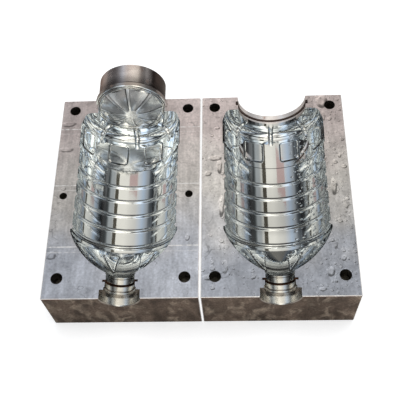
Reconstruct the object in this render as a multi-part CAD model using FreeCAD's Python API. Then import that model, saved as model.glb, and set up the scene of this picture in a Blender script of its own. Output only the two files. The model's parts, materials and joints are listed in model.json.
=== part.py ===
import FreeCAD, Part
import math
import os

# Bottle blow mould, opened flat: two half blocks lie side by side with their parting faces up
# and their neck ends towards -Y. The base plug of the bottle lies in its seat in the left half.
# Stations are distances along the bottle axis, counted from the neck end of the blocks.

# Half blocks
block_width = 220.0
block_length = 340.0
block_depth = 96.0
block_gap = 2.4
block_chamfer = 1.0

# Neck end of the cavity: seat for the neck ring, pilot bore, slot for the support ring, neck
neck_seat_radius = 28.6
neck_seat_length = 13.5
pilot_step_radius = 22.8
pilot_step_length = 4.0
pilot_radius = 21.2
pilot_length = 7.5
ring_slot_radius = 25.0
ring_slot_width = 3.4
neck_radius = 20.2
neck_length = 7.6
neck_lip_height = 0.9
neck_lip_length = 3.2

# Shoulder: a dome from the neck to the widest band of the bottle
shoulder_length = 65.8
shoulder_bulge_run = 24.0
shoulder_bulge_rise = 32.4
collar_radius = 78.0
collar_width = 11.0
shoulder_chords = 4

# Body wall with raised rings, which press the grip grooves into the bottle
body_radius = 76.0
body_length = 138.0
ring_count = 5
ring_width = 5.0
ring_height = 2.2
ring_margin = 0.6
ring_pitch = 25.7
band_step_length = 1.8

# Base band and heel of the bottle
band_radius = 78.0
band_length = 51.0
heel_step = 0.8
heel_radius = 13.4
heel_chords = 3

# Pattern round the axis, which repeats on every heel rib
pattern_count = 8
panel_half_angle = 11.8
panel_length = 37.0
panel_corner = 5.0
panel_height = 1.6
panel_from_heel = 4.5
wedge_length = 39.0
wedge_half_width = 12.6
wedge_tip_half_width = 1.6
wedge_corner = 1.4
wedge_height = 1.3
wedge_from_collar = 8.5
heel_rib_height = 2.4
heel_rib_half_width = 3.2
heel_rib_root = 1.5
heel_rib_fade = 11.0

# Seat of the base plug at the far end of each half
plug_radius = 53.0
flange_radius = 56.5
flange_width = 7.6
seat_lip_length = 5.2
seat_clearance = 0.2

# Base plug: the domed face with its petals, and the cooled body behind it
plug_recess = 4.6
plug_tail_length = 3.5
dome_radius = 49.5
dome_height = 14.0
dome_mid_height = 10.6
dome_chords = 2
hub_radius = 12.0
petal_depth_inner = 0.8
petal_depth_outer = 3.2
petal_rib_half_width = 2.3
plug_overhang = 28.6
cooling_recess_radius = 28.0
cooling_recess_depth = 7.0
seal_radius = 33.0
seal_width = 3.4
seal_depth = 2.6
actuator_hole_radius = 7.0
actuator_hole_depth = 20.0
plug_port_offset = 20.0

# Fasteners of the base plug
screw_count = 4
screw_circle_radius = 43.0
screw_radius = 4.0
screw_grip = 9.0
screw_head_radius = 6.5
screw_head_height = 8.0
screw_head_sunk = 1.0
screw_socket_across = 6.0
screw_socket_depth = 4.0
screw_hole_clearance = 0.5
thread_clearance = 0.1
dowel_radius = 3.0
dowel_length = 16.0
dowel_count = 2

# Holes in the parting faces
guide_hole_radius = 8.5
guide_hole_depth = 45.0
guide_hole_chamfer = 0.8
guide_spacing_x = 180.0
guide_first_station = 31.0
guide_last_station = 320.0
side_hole_radius = 5.8
side_hole_depth = 30.0
side_spacing_x = 188.0
side_hole_station = 164.0

# Shallow vents across the left parting face
vent_depth = 0.3
vent_width = 8.6
vent_stations = (75.5, 177.8, 280.2)

# Cooling channels, drilled at the size that their ends are tapped in, and their stoppers
channel_radius = 5.9
channel_spacing = 190.0
channel_drop = 60.0
cross_channel_station = 18.0
stopper_length = 8.0
stopper_sunk = 0.6
stopper_socket_across = 6.0
stopper_socket_depth = 5.0

# Tapped holes for the clamp platens and for lifting
platen_hole_radius = 5.1
platen_hole_depth = 22.0
platen_spacing_x = 140.0
platen_spacing_y = 220.0
lifting_hole_radius = 5.1
lifting_hole_depth = 24.0
lifting_hole_drop = 48.0

# How far a cutter runs past the face that it opens
overrun = 2.0

# Derived stations along the bottle axis
pilot_station = neck_seat_length + pilot_step_length
slot_station = pilot_station + pilot_length
neck_station = slot_station + ring_slot_width
neck_lip_station = neck_station + neck_length
shoulder_station = neck_lip_station + neck_lip_length
collar_station = shoulder_station + shoulder_length
body_station = collar_station + collar_width
band_station = body_station + body_length
heel_station = band_station + band_length
face_station = heel_station + heel_radius
flange_station = face_station + seat_lip_length
flange_end_station = flange_station + flange_width
plug_face_station = face_station + plug_recess
plug_joint_station = flange_end_station + plug_tail_length
plug_end_station = block_length + plug_overhang

# Derived places of the pieces
axis_offset = (block_gap + block_width) / 2
front_y = -plug_end_station / 2
left_side = -1
right_side = 1
pattern_step = 360.0 / pattern_count

axis_point = FreeCAD.Vector(0, 0, 0)
bottle_axis = FreeCAD.Vector(0, 1, 0)
up = FreeCAD.Vector(0, 0, 1)
down = FreeCAD.Vector(0, 0, -1)


def point(station, radius):
    """A point of an outline that is turned round the bottle axis."""
    return FreeCAD.Vector(0, station, radius)


class Outline:
    """An outline of lines and arcs in stations and radii, turned round the bottle axis."""

    def __init__(self, station, radius):
        self.first = point(station, radius)
        self.last = self.first
        self.edges = []

    def line(self, station, radius):
        end = point(station, radius)
        self.edges.append(Part.makeLine(self.last, end))
        self.last = end

    def arc(self, middle, end, chords):
        """Draw an arc as short chords, which turn into short cones."""
        curve = Part.Arc(self.last, point(*middle), point(*end)).toShape()
        for place in curve.discretize(chords + 1)[1:]:
            self.edges.append(Part.makeLine(self.last, place))
            self.last = place

    def turned(self):
        closing = Part.makeLine(self.last, self.first)
        face = Part.Face(Part.Wire(self.edges + [closing]))
        return face.revolve(axis_point, bottle_axis, 360)


def around_axis(shape, angle):
    """A copy of a shape turned round the bottle axis; 0 degrees points straight down."""
    copy = shape.copy()
    copy.rotate(axis_point, bottle_axis, angle)
    return copy


def along_axis(radius, station, length, x=0.0, z=0.0):
    """A cylinder parallel to the bottle axis."""
    return Part.makeCylinder(radius, length, FreeCAD.Vector(x, station, z), bottle_axis)


def rounded_prism(corners, corner_radius, top, bottom):
    """A prism with rounded corners that stands on the level bottom and ends at the level top."""
    wire = Part.makePolygon([FreeCAD.Vector(x, y, bottom) for x, y in corners + corners[:1]])
    prism = Part.Face(wire).extrude(FreeCAD.Vector(0, 0, top - bottom))
    uprights = [edge for edge in prism.Edges if abs(edge.tangentAt(0).z) > 0.9]
    return prism.makeFillet(corner_radius, uprights)


def hexagon(across_flats):
    """The corners of a hexagon centred on the origin."""
    corner_distance = across_flats / math.sqrt(3)
    angles = [math.radians(60 * index) for index in range(7)]
    return [(corner_distance * math.cos(a), corner_distance * math.sin(a)) for a in angles]


# Cavity

def shoulder_curve(outline, inset):
    """Add the shoulder dome to an outline, moved inwards by inset."""
    bulge = (shoulder_station + shoulder_bulge_run, neck_radius + shoulder_bulge_rise - inset)
    outline.arc(bulge, (collar_station, collar_radius - inset), shoulder_chords)


def body_rings(outline):
    """Add the body wall with its raised rings to an outline."""
    first_ring = body_station + ring_margin + ring_width / 2
    for index in range(ring_count):
        centre = first_ring + index * ring_pitch
        outline.line(centre - ring_width / 2, body_radius)
        outline.line(centre, body_radius - ring_height)
        outline.line(centre + ring_width / 2, body_radius)
    outline.line(band_station, body_radius)


def cavity_turning():
    """Everything in a pair of halves that is turned round the bottle axis."""
    lip_radius = neck_radius + neck_lip_height
    heel_top = band_radius - heel_step
    heel_half = heel_radius * math.sqrt(0.5)
    annulus_radius = heel_top - heel_radius
    outline = Outline(-overrun, 0)
    outline.line(-overrun, neck_seat_radius)
    outline.line(neck_seat_length, neck_seat_radius)
    outline.line(neck_seat_length, pilot_step_radius)
    outline.line(pilot_station, pilot_step_radius)
    outline.line(pilot_station, pilot_radius)
    outline.line(slot_station, pilot_radius)
    outline.line(slot_station, ring_slot_radius)
    outline.line(neck_station, ring_slot_radius)
    outline.line(neck_station, neck_radius)
    outline.line(neck_lip_station, neck_radius)
    outline.line(neck_lip_station, lip_radius)
    outline.line(shoulder_station, lip_radius)
    shoulder_curve(outline, 0)
    outline.line(body_station, collar_radius)
    outline.line(body_station, body_radius)
    body_rings(outline)
    outline.line(band_station + band_step_length, band_radius)
    outline.line(heel_station, band_radius)
    outline.line(heel_station, heel_top)
    heel_middle = (heel_station + heel_half, annulus_radius + heel_half)
    outline.arc(heel_middle, (face_station, annulus_radius), heel_chords)
    outline.line(face_station, plug_radius + seat_clearance)
    outline.line(flange_station, plug_radius + seat_clearance)
    outline.line(flange_station, flange_radius + seat_clearance)
    outline.line(flange_end_station, flange_radius + seat_clearance)
    outline.line(flange_end_station, plug_radius + seat_clearance)
    outline.line(block_length + overrun, plug_radius + seat_clearance)
    outline.line(block_length + overrun, 0)
    return outline.turned()


def panel():
    """A raised pad with rounded corners on the base band."""
    half_width = band_radius * math.sin(math.radians(panel_half_angle))
    end = heel_station - panel_from_heel
    start = end - panel_length
    corners = [(-half_width, start), (half_width, start), (half_width, end), (-half_width, end)]
    inside = band_radius - panel_height
    prism = rounded_prism(corners, panel_corner, -inside / 2, -band_radius - overrun)
    return prism.cut(along_axis(inside, start - overrun, panel_length + 2 * overrun))


def wedge():
    """A raised wedge on the shoulder that narrows towards the neck."""
    wide_end = collar_station - wedge_from_collar
    narrow_end = wide_end - wedge_length
    corners = [
        (-wedge_tip_half_width, narrow_end),
        (wedge_tip_half_width, narrow_end),
        (wedge_half_width, wide_end),
        (-wedge_half_width, wide_end),
    ]
    prism = rounded_prism(corners, wedge_corner, -neck_radius, -collar_radius - overrun)
    inside = Outline(shoulder_station, 0)
    inside.line(shoulder_station, neck_radius - wedge_height)
    shoulder_curve(inside, wedge_height)
    inside.line(collar_station, 0)
    return prism.cut(inside.turned())


def heel_rib_section(station, radius, lean, height):
    """The ridge of a heel rib at a point of the cavity wall that leans by an angle to the axis."""
    lean = math.radians(lean)
    inwards = FreeCAD.Vector(0, -math.sin(lean), math.cos(lean))
    foot = FreeCAD.Vector(0, station, -radius) - inwards * heel_rib_root
    side = FreeCAD.Vector(heel_rib_half_width, 0, 0)
    crest = foot + inwards * (heel_rib_root + height)
    return Part.makePolygon([foot - side, crest, foot + side, foot - side])


def heel_rib():
    """A ridge over the heel, from the edge of the base plug up to the base band, where it fades out."""
    heel_top = band_radius - heel_step
    annulus_radius = heel_top - heel_radius
    half = heel_radius * math.sqrt(0.5)
    sections = [
        heel_rib_section(heel_station - heel_rib_fade, band_radius, 0, 0),
        heel_rib_section(heel_station, heel_top, 0, heel_rib_height),
        heel_rib_section(heel_station + half, annulus_radius + half, 45, heel_rib_height),
        heel_rib_section(face_station, annulus_radius, 90, heel_rib_height),
        heel_rib_section(face_station, plug_radius + seat_clearance, 90, heel_rib_height),
    ]
    return Part.makeLoft(sections, True, True)


def cavity():
    """The space of the bottle with its neck and base seats, as one cutter."""
    raised = []
    for index in range(pattern_count):
        rib_angle = index * pattern_step
        raised.append(around_axis(heel_rib(), rib_angle))
        raised.append(around_axis(panel(), rib_angle + pattern_step / 2))
        raised.append(around_axis(wedge(), rib_angle + pattern_step / 2))
    return cavity_turning().cut(raised)


# Half blocks

def guide_holes():
    """The corner holes in a parting face, with their chamfered rims."""
    holes = []
    for x in (-guide_spacing_x / 2, guide_spacing_x / 2):
        for station in (guide_first_station, guide_last_station):
            mouth = FreeCAD.Vector(x, station, 0)
            rim_radius = guide_hole_radius + guide_hole_chamfer
            rim = Part.makeCone(rim_radius, guide_hole_radius, guide_hole_chamfer, mouth, down)
            hole = Part.makeCylinder(guide_hole_radius, guide_hole_depth, mouth, down)
            holes.append(hole.fuse(rim))
    return holes


def cooling_channels(side):
    """Two long channels from the back face, joined by one that is drilled from the outer side."""
    cutters = []
    for x in (-channel_spacing / 2, channel_spacing / 2):
        length = block_length - cross_channel_station
        cutters.append(along_axis(channel_radius, cross_channel_station, length, x, -channel_drop))
    mouth = FreeCAD.Vector(side * block_width / 2, cross_channel_station, -channel_drop)
    inwards = FreeCAD.Vector(-side, 0, 0)
    cross_length = (block_width + channel_spacing) / 2
    cutters.append(Part.makeCylinder(channel_radius, cross_length, mouth, inwards))
    return cutters


def tapped_holes(side):
    """Holes for the platen bolts in the underside, and for a lifting eye in the outer side."""
    cutters = []
    for x in (-platen_spacing_x / 2, platen_spacing_x / 2):
        for offset in (-platen_spacing_y / 2, platen_spacing_y / 2):
            mouth = FreeCAD.Vector(x, block_length / 2 + offset, -block_depth)
            cutters.append(Part.makeCylinder(platen_hole_radius, platen_hole_depth, mouth, up))
    mouth = FreeCAD.Vector(side * block_width / 2, block_length / 2, -lifting_hole_drop)
    inwards = FreeCAD.Vector(-side, 0, 0)
    cutters.append(Part.makeCylinder(lifting_hole_radius, lifting_hole_depth, mouth, inwards))
    return cutters


def side_holes():
    """The two small holes beside the cavity of the left half."""
    holes = []
    for x in (-side_spacing_x / 2, side_spacing_x / 2):
        mouth = FreeCAD.Vector(x, side_hole_station, 0)
        holes.append(Part.makeCylinder(side_hole_radius, side_hole_depth, mouth, down))
    return holes


def vents():
    """Shallow bands milled across the parting face of the left half."""
    bands = []
    for station in vent_stations:
        corner = FreeCAD.Vector(-block_width / 2 - overrun, station - vent_width / 2, -vent_depth)
        length = block_width + 2 * overrun
        bands.append(Part.makeBox(length, vent_width, vent_depth + overrun, corner))
    return bands


def half_block(side, bottle):
    """One half of the mould, with its parting face at level 0 on the bottle axis."""
    corner = FreeCAD.Vector(-block_width / 2, 0, -block_depth)
    block = Part.makeBox(block_width, block_length, block_depth, corner)
    block = block.makeChamfer(block_chamfer, block.Edges)
    cutters = [bottle] + guide_holes() + cooling_channels(side) + tapped_holes(side)
    if side == left_side:
        cutters += side_holes() + vents()
    return block.cut(cutters)


def channel_stopper(side):
    """The pipe plug that closes the cross channel, with its hexagon socket."""
    socket = Part.Face(Part.makePolygon([FreeCAD.Vector(0, a, b) for a, b in hexagon(stopper_socket_across)]))
    inwards = FreeCAD.Vector(-side, 0, 0)
    mouth_x = side * (block_width / 2 - stopper_sunk)
    stopper = Part.makeCylinder(
        channel_radius - thread_clearance, stopper_length, axis_point, inwards
    )
    stopper = stopper.cut(socket.extrude(inwards * stopper_socket_depth))
    stopper.translate(FreeCAD.Vector(mouth_x, cross_channel_station, -channel_drop))
    return stopper


# Base plug

def dome_curve(outline):
    """Add the domed face to an outline that starts on the axis."""
    middle = (plug_face_station - dome_mid_height, dome_radius / 2)
    outline.arc(middle, (plug_face_station, dome_radius), dome_chords)


def petal():
    """The conical scoop of one petal between two ribs, which grows wider towards the rim."""
    half_step = math.radians(pattern_step / 2)
    inner_width = hub_radius * math.sin(half_step) - petal_rib_half_width / 2
    outer_width = dome_radius * math.sin(half_step) - petal_rib_half_width
    inner_bend = scoop_radius(inner_width, petal_depth_inner)
    outer_bend = scoop_radius(outer_width, petal_depth_outer)
    inner_floor = point(plug_face_station - dome_height + petal_depth_inner, -hub_radius)
    outer_floor = point(plug_face_station + petal_depth_outer, -dome_radius)
    floor = outer_floor - inner_floor
    spread = math.atan((outer_bend - inner_bend) / floor.Length)
    floor_direction = floor.normalize()
    tip = inner_floor - floor_direction * (inner_bend / math.tan(spread))
    turn = FreeCAD.Rotation(FreeCAD.Vector(1, 0, 0), -math.degrees(spread))
    scoop_axis = turn.multVec(floor_direction)
    reach = (outer_floor - tip).Length / math.cos(spread)
    scoop = Part.makeCone(0, reach * math.tan(spread), reach, tip, scoop_axis)
    front = plug_face_station - dome_height - overrun
    ring = along_axis(dome_radius, front, dome_height + flange_width)
    ring = ring.cut(along_axis(hub_radius, front, dome_height + flange_width))
    return scoop.common(ring)


def scoop_radius(half_width, depth):
    """The radius of a round cut that is this wide and deep."""
    return (half_width ** 2 + depth ** 2) / (2 * depth)


def screw_places():
    """The angles of the screws, which stand behind every second rib."""
    return [index * 360.0 / screw_count for index in range(screw_count)]


def dowel_places():
    """The angles of the dowels, between the screws."""
    return [pattern_step + index * 360.0 / dowel_count for index in range(dowel_count)]


def base_insert():
    """The front of the base plug: petal face, the flange that locates it and a short tail."""
    outline = Outline(plug_face_station - dome_height, 0)
    dome_curve(outline)
    outline.line(plug_face_station, plug_radius)
    outline.line(flange_station + seat_clearance, plug_radius)
    outline.line(flange_station + seat_clearance, flange_radius)
    outline.line(flange_end_station - seat_clearance, flange_radius)
    outline.line(flange_end_station - seat_clearance, plug_radius)
    back = plug_joint_station - seat_clearance
    outline.line(back, plug_radius)
    outline.line(back, 0)
    recess = along_axis(cooling_recess_radius, back - cooling_recess_depth, cooling_recess_depth)
    cutters = [around_axis(petal(), (index + 0.5) * pattern_step) for index in range(pattern_count)]
    cutters.append(recess)
    thread_radius = screw_radius + thread_clearance
    thread = along_axis(thread_radius, back - screw_grip, screw_grip, 0, -screw_circle_radius)
    cutters += [around_axis(thread, angle) for angle in screw_places()]
    dowel_hole = dowel_cutter(back - dowel_length / 2, dowel_length / 2)
    cutters += [around_axis(dowel_hole, angle) for angle in dowel_places()]
    return outline.turned().cut(cutters)


def dowel_cutter(station, length):
    """The hole of a dowel at the angle 0."""
    return along_axis(dowel_radius + thread_clearance, station, length, 0, -screw_circle_radius)


def base_body():
    """The cooled body of the base plug, which stands out behind the block."""
    front = plug_joint_station - seat_clearance
    outline = Outline(front, 0)
    outline.line(front, plug_radius)
    outline.line(plug_end_station, plug_radius)
    outline.line(plug_end_station, 0)
    length = plug_end_station - front
    cutters = [seal_ring(front)]
    head_depth = screw_head_height + screw_head_sunk
    clearance_radius = screw_radius + screw_hole_clearance
    shank_hole = along_axis(clearance_radius, front, length, 0, -screw_circle_radius)
    head_radius = screw_head_radius + screw_hole_clearance
    head_hole = along_axis(head_radius, plug_end_station - head_depth, head_depth, 0, -screw_circle_radius)
    for angle in screw_places():
        cutters += [around_axis(shank_hole, angle), around_axis(head_hole, angle)]
    dowel_hole = dowel_cutter(front, dowel_length / 2)
    cutters += [around_axis(dowel_hole, angle) for angle in dowel_places()]
    for x in (-plug_port_offset, plug_port_offset):
        cutters.append(along_axis(channel_radius, front, length, x))
    actuator_station = plug_end_station - actuator_hole_depth
    cutters.append(along_axis(actuator_hole_radius, actuator_station, actuator_hole_depth))
    return outline.turned().cut(cutters)


def seal_ring(station):
    """The square ring that seals the cooling water, let into the base body."""
    outer = along_axis(seal_radius + seal_width / 2, station, seal_depth)
    return outer.cut(along_axis(seal_radius - seal_width / 2, station, seal_depth))


def base_screws():
    """The socket head screws that hold the petal face to the body, as separate solids."""
    head_station = plug_end_station - screw_head_sunk - screw_head_height
    tip_station = plug_joint_station - seat_clearance - screw_grip
    head = along_axis(screw_head_radius, head_station, screw_head_height)
    shank = along_axis(screw_radius, tip_station, head_station - tip_station)
    socket_station = head_station + screw_head_height - screw_socket_depth
    corners = [FreeCAD.Vector(a, socket_station, b) for a, b in hexagon(screw_socket_across)]
    socket = Part.Face(Part.makePolygon(corners)).extrude(bottle_axis * screw_socket_depth)
    screw = head.fuse(shank).cut(socket)
    screw.translate(FreeCAD.Vector(0, 0, -screw_circle_radius))
    return Part.makeCompound([around_axis(screw, angle) for angle in screw_places()])


def base_dowels():
    """The dowels that keep the petals in line, as separate solids."""
    start = plug_joint_station - seat_clearance - dowel_length / 2
    dowel = along_axis(dowel_radius, start, dowel_length, 0, -screw_circle_radius)
    return Part.makeCompound([around_axis(dowel, angle) for angle in dowel_places()])


def write(name, shape, side):
    """Place a piece in its half of the mould and write it."""
    placed = shape.copy()
    placed.translate(FreeCAD.Vector(side * axis_offset, front_y, block_depth))
    placed.exportStep("parts/" + name + ".step")


def main():
    os.makedirs("parts", exist_ok=True)
    bottle = cavity()
    write("left_half", half_block(left_side, bottle), left_side)
    write("right_half", half_block(right_side, bottle), right_side)
    write("left_channel_stopper", channel_stopper(left_side), left_side)
    write("right_channel_stopper", channel_stopper(right_side), right_side)
    write("base_insert", base_insert(), left_side)
    write("base_body", base_body(), left_side)
    write("base_seal", seal_ring(plug_joint_station - seat_clearance), left_side)
    write("base_screws", base_screws(), left_side)
    write("base_dowels", base_dowels(), left_side)


main()
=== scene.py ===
"""Looks of an open bottle blow mould: two polished halves side by side, the base plug in the left one."""

from __future__ import annotations

import json
import logging
import math
from dataclasses import dataclass
from enum import Enum, IntEnum
from functools import reduce

import bpy
import numpy as np
from mathutils import Matrix, Vector

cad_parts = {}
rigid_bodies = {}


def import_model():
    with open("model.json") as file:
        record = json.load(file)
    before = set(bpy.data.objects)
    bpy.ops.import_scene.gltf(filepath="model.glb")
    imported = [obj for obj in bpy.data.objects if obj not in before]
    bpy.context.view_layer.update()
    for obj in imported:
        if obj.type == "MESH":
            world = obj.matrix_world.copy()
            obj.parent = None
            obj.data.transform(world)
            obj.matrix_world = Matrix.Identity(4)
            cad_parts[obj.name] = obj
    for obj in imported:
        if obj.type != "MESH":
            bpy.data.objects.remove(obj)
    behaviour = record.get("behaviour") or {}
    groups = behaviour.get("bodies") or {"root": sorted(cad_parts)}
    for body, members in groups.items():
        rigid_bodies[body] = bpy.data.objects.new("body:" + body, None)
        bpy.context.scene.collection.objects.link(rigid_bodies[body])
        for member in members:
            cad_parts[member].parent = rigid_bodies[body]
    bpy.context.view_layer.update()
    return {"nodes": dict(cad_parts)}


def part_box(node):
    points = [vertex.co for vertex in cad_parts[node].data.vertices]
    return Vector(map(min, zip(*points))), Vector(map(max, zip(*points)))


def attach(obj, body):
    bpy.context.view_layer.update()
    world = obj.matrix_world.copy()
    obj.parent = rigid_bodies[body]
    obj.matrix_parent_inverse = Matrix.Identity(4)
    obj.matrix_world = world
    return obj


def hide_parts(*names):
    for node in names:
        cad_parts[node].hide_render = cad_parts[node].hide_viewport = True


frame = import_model()

logging.basicConfig(level=logging.INFO, format="%(message)s")
log = logging.getLogger("blow_mould")

MM = 0.001
NODE_STEP = (180, -220)
NODES_PER_ROW = 12
Color = tuple[float, float, float]
Point = tuple[float, float]
Material = bpy.types.Material
Socket = bpy.types.NodeSocket
Sockets = bpy.types.bpy_prop_collection
Thing = bpy.types.Object


class Side(Enum):
    """The two halves of the mould, by the direction of their outer side."""

    LEFT = -1
    RIGHT = 1


class Zone(IntEnum):
    """The machined zones of a half block, in the order of its material slots."""

    PARTING = 0
    CAVITY = 1
    NECK = 2
    FLANK = 3
    EDGE = 4
    HOLE = 5
    VENT = 6
    SEAT = 7
    INNER = 8
    SLOT = 9


# Modelling helpers


def clear_selection() -> None:
    """Deselect every object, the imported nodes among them."""
    for item in bpy.context.view_layer.objects:
        item.select_set(False)


def pick(item: Thing) -> None:
    """Make one object the only selected and active one.

    Args:
        item: The object to select.
    """
    clear_selection()
    item.select_set(True)
    bpy.context.view_layer.objects.active = item


def open_edit(item: Thing, mode: str = "VERT", everything: bool = True) -> None:
    """Enter edit mode on an object.

    Args:
        item: The object to edit.
        mode: VERT, EDGE or FACE selection.
        everything: Whether all of the mesh starts selected.
    """
    pick(item)
    bpy.ops.object.mode_set(mode="EDIT")
    bpy.ops.mesh.select_mode(type=mode)
    bpy.ops.mesh.select_all(action="SELECT" if everything else "DESELECT")


def close_edit() -> None:
    """Leave edit mode."""
    bpy.ops.object.mode_set(mode="OBJECT")


def settle(item: Thing) -> None:
    """Put an object's place, turn and scale into its mesh.

    Args:
        item: The object to settle.
    """
    pick(item)
    bpy.ops.object.transform_apply(location=True, rotation=True, scale=True)


def add_shape(kind: str, name: str, scale: Color | Vector = (1.0, 1.0, 1.0), **settings: object) -> Thing:
    """Add a simple shape with its place and size in its mesh.

    Args:
        kind: The shape's kind, as Blender calls it.
        name: Its name.
        scale: Its scale along each axis.
        **settings: Its other settings.

    Returns:
        The new object.
    """
    clear_selection()
    getattr(bpy.ops.mesh, f"primitive_{kind}_add")(**settings)
    item = bpy.context.active_object
    item.name = name
    item.scale = scale
    settle(item)
    return item


def coat(item: Thing, materials: list[Material], zones: int | list[int] | np.ndarray) -> None:
    """Give a mesh its materials, and each face one of them.

    Args:
        item: The mesh object.
        materials: The materials, in the order of the zones.
        zones: The zone of every face, or one zone for all.
    """
    item.data.materials.clear()
    for material in materials:
        item.data.materials.append(material)
    indices = np.broadcast_to(zones, len(item.data.polygons)).astype(np.int32)
    item.data.polygons.foreach_set("material_index", indices)


def finish_shell(item: Thing) -> None:
    """Merge doubles and turn every face outwards.

    Args:
        item: The closed mesh to finish.
    """
    open_edit(item)
    bpy.ops.mesh.remove_doubles(threshold=1e-6)
    bpy.ops.mesh.normals_make_consistent(inside=False)
    close_edit()


def apply_modifier(item: Thing, kind: str, **settings: object) -> None:
    """Add a modifier, set it and apply it.

    Args:
        item: The object to change.
        kind: The modifier's type.
        **settings: Its settings by name.
    """
    pick(item)
    modifier = item.modifiers.new(kind.title(), kind)
    for name, value in settings.items():
        setattr(modifier, name, value)
    bpy.ops.object.modifier_apply(modifier=modifier.name)


def cut(item: Thing, tool: Thing) -> None:
    """Cut a tool out of an object and throw the tool away.

    Args:
        item: The object that is cut.
        tool: The closed mesh that cuts it.
    """
    apply_modifier(item, "BOOLEAN", object=tool, operation="DIFFERENCE", solver="EXACT")
    bpy.data.objects.remove(tool)


def join(parts: list[Thing], name: str) -> Thing:
    """Join objects into the first one.

    Args:
        parts: The objects to join.
        name: The name of the joined object.

    Returns:
        The joined object.
    """
    pick(parts[0])
    for item in parts[1:]:
        item.select_set(True)
    if len(parts) > 1:
        bpy.ops.object.join()
    parts[0].name = name
    return parts[0]


def places(item: Thing) -> np.ndarray:
    """The vertices of a mesh as an array of points.

    Args:
        item: The mesh object.

    Returns:
        One row of x, y and z per vertex.
    """
    flat = np.empty(len(item.data.vertices) * 3)
    item.data.vertices.foreach_get("co", flat)
    return flat.reshape(-1, 3)


def move_to(item: Thing, points: np.ndarray) -> None:
    """Write the vertices of a mesh back.

    Args:
        item: The mesh object.
        points: One row of x, y and z per vertex.
    """
    item.data.vertices.foreach_set("co", points.ravel())
    item.data.update()


def face_centres(item: Thing) -> np.ndarray:
    """The centres of the faces of a mesh.

    Args:
        item: The mesh object.

    Returns:
        One row of x, y and z per face.
    """
    flat = np.empty(len(item.data.polygons) * 3)
    item.data.polygons.foreach_get("center", flat)
    return flat.reshape(-1, 3)


def soften(item: Thing, degrees: float) -> None:
    """Shade an object smooth, with edges sharper than an angle kept crisp.

    Args:
        item: The object to shade.
        degrees: The angle.
    """
    pick(item)
    bpy.ops.object.shade_smooth_by_angle(angle=math.radians(degrees))


def smooth_step(value: np.ndarray) -> np.ndarray:
    """Rise softly from 0 to 1 as the value goes from 0 to 1."""
    value = np.clip(value, 0.0, 1.0)
    return value * value * (3.0 - 2.0 * value)


def across_lines(radius: np.ndarray, angle: np.ndarray, step: float, shift: float = 0.0) -> np.ndarray:
    """How far points lie across from the nearest line of a pattern about an axis.

    Args:
        radius: The distance of each point from the axis.
        angle: Its angle from straight down, in degrees.
        step: The angle from one line to the next, in degrees.
        shift: Where the first line is, in steps from straight down.

    Returns:
        The distance of each point, with its side as its sign.
    """
    turns = angle / step - shift
    return radius * np.sin(np.radians((turns - np.round(turns)) * step))


def towards(centre: Point, station: np.ndarray, radius: np.ndarray) -> tuple[np.ndarray, np.ndarray]:
    """The direction from points to a centre.

    Args:
        centre: The station and radius of the centre.
        station: The station of each point.
        radius: Its distance from the axis.

    Returns:
        The share along the axis and the share away from it.
    """
    along, away = centre[0] - station, centre[1] - radius
    length = np.maximum(np.hypot(along, away), 1e-6)
    return along / length, away / length


@dataclass
class Axis:
    """The bottle axis of one half, in metres."""

    x: float
    front: float
    top: float

    def mouth(self, x: float, station: float, level: float = 0.0) -> Vector:
        """A point from millimetres beside the axis, along it and below its level."""
        return Vector((self.x + x * MM, self.front + station * MM, self.top - level * MM))

    def centre(self) -> Vector:
        """The point of the axis at its first station."""
        return Vector((self.x, self.front, self.top))

    def polar(self, points: np.ndarray) -> tuple[np.ndarray, np.ndarray, np.ndarray]:
        """Where points lie about the axis.

        Args:
            points: One row of x, y and z per point, in metres.

        Returns:
            The station and the radius of each in millimetres, and its angle from straight down in degrees.
        """
        dx, station, dz = ((points - np.array((self.x, self.front, self.top))) / MM).T
        return station, np.hypot(dx, dz), np.degrees(np.arctan2(dx, -dz))


def trace(name: str, axis: Axis, outline: list[Point]) -> Thing:
    """Draw an outline of stations and radii as a chain of edges below an axis.

    Args:
        name: The name of the new object.
        axis: The axis that the outline belongs to.
        outline: Points of station and radius in millimetres.

    Returns:
        An object that holds the chain.
    """
    item = add_shape("plane", name, size=MM)
    open_edit(item)
    bpy.ops.mesh.merge(type="CENTER")
    here = axis.mouth(0, *outline[0])
    bpy.ops.transform.translate(value=here)
    for station, radius in outline[1:]:
        there = axis.mouth(0, station, radius)
        bpy.ops.mesh.extrude_vertices_move(TRANSFORM_OT_translate={"value": there - here})
        here = there
    close_edit()
    return item


def turn(name: str, axis: Axis, outline: list[Point], steps: int) -> Thing:
    """Turn an outline all the way round an axis into a closed body.

    Args:
        name: The name of the new object.
        axis: The axis to turn about.
        outline: Points of station and radius in millimetres, from the axis back to the axis.
        steps: The number of steps in a full turn.

    Returns:
        The turned object.
    """
    item = trace(name, axis, outline)
    open_edit(item)
    bpy.ops.mesh.spin(steps=steps, angle=2 * math.pi, center=axis.centre(), axis=(0, 1, 0))
    close_edit()
    finish_shell(item)
    return item


def arc(start: Point, middle: Point, end: Point, count: int) -> list[Point]:
    """Points along the arc through three points, without its first.

    Args:
        start: Where the arc starts.
        middle: A point on the arc.
        end: Where the arc ends.
        count: How many points are wanted.

    Returns:
        The points, the end among them.
    """
    cx, cy = arc_centre(start, middle, end)
    radius = math.hypot(start[0] - cx, start[1] - cy)
    first, last = (math.atan2(p[1] - cy, p[0] - cx) for p in (start, end))
    span = (last - first + math.pi) % (2 * math.pi) - math.pi
    return [
        (cx + radius * math.cos(first + span * k / count), cy + radius * math.sin(first + span * k / count))
        for k in range(1, count + 1)
    ]


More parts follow.
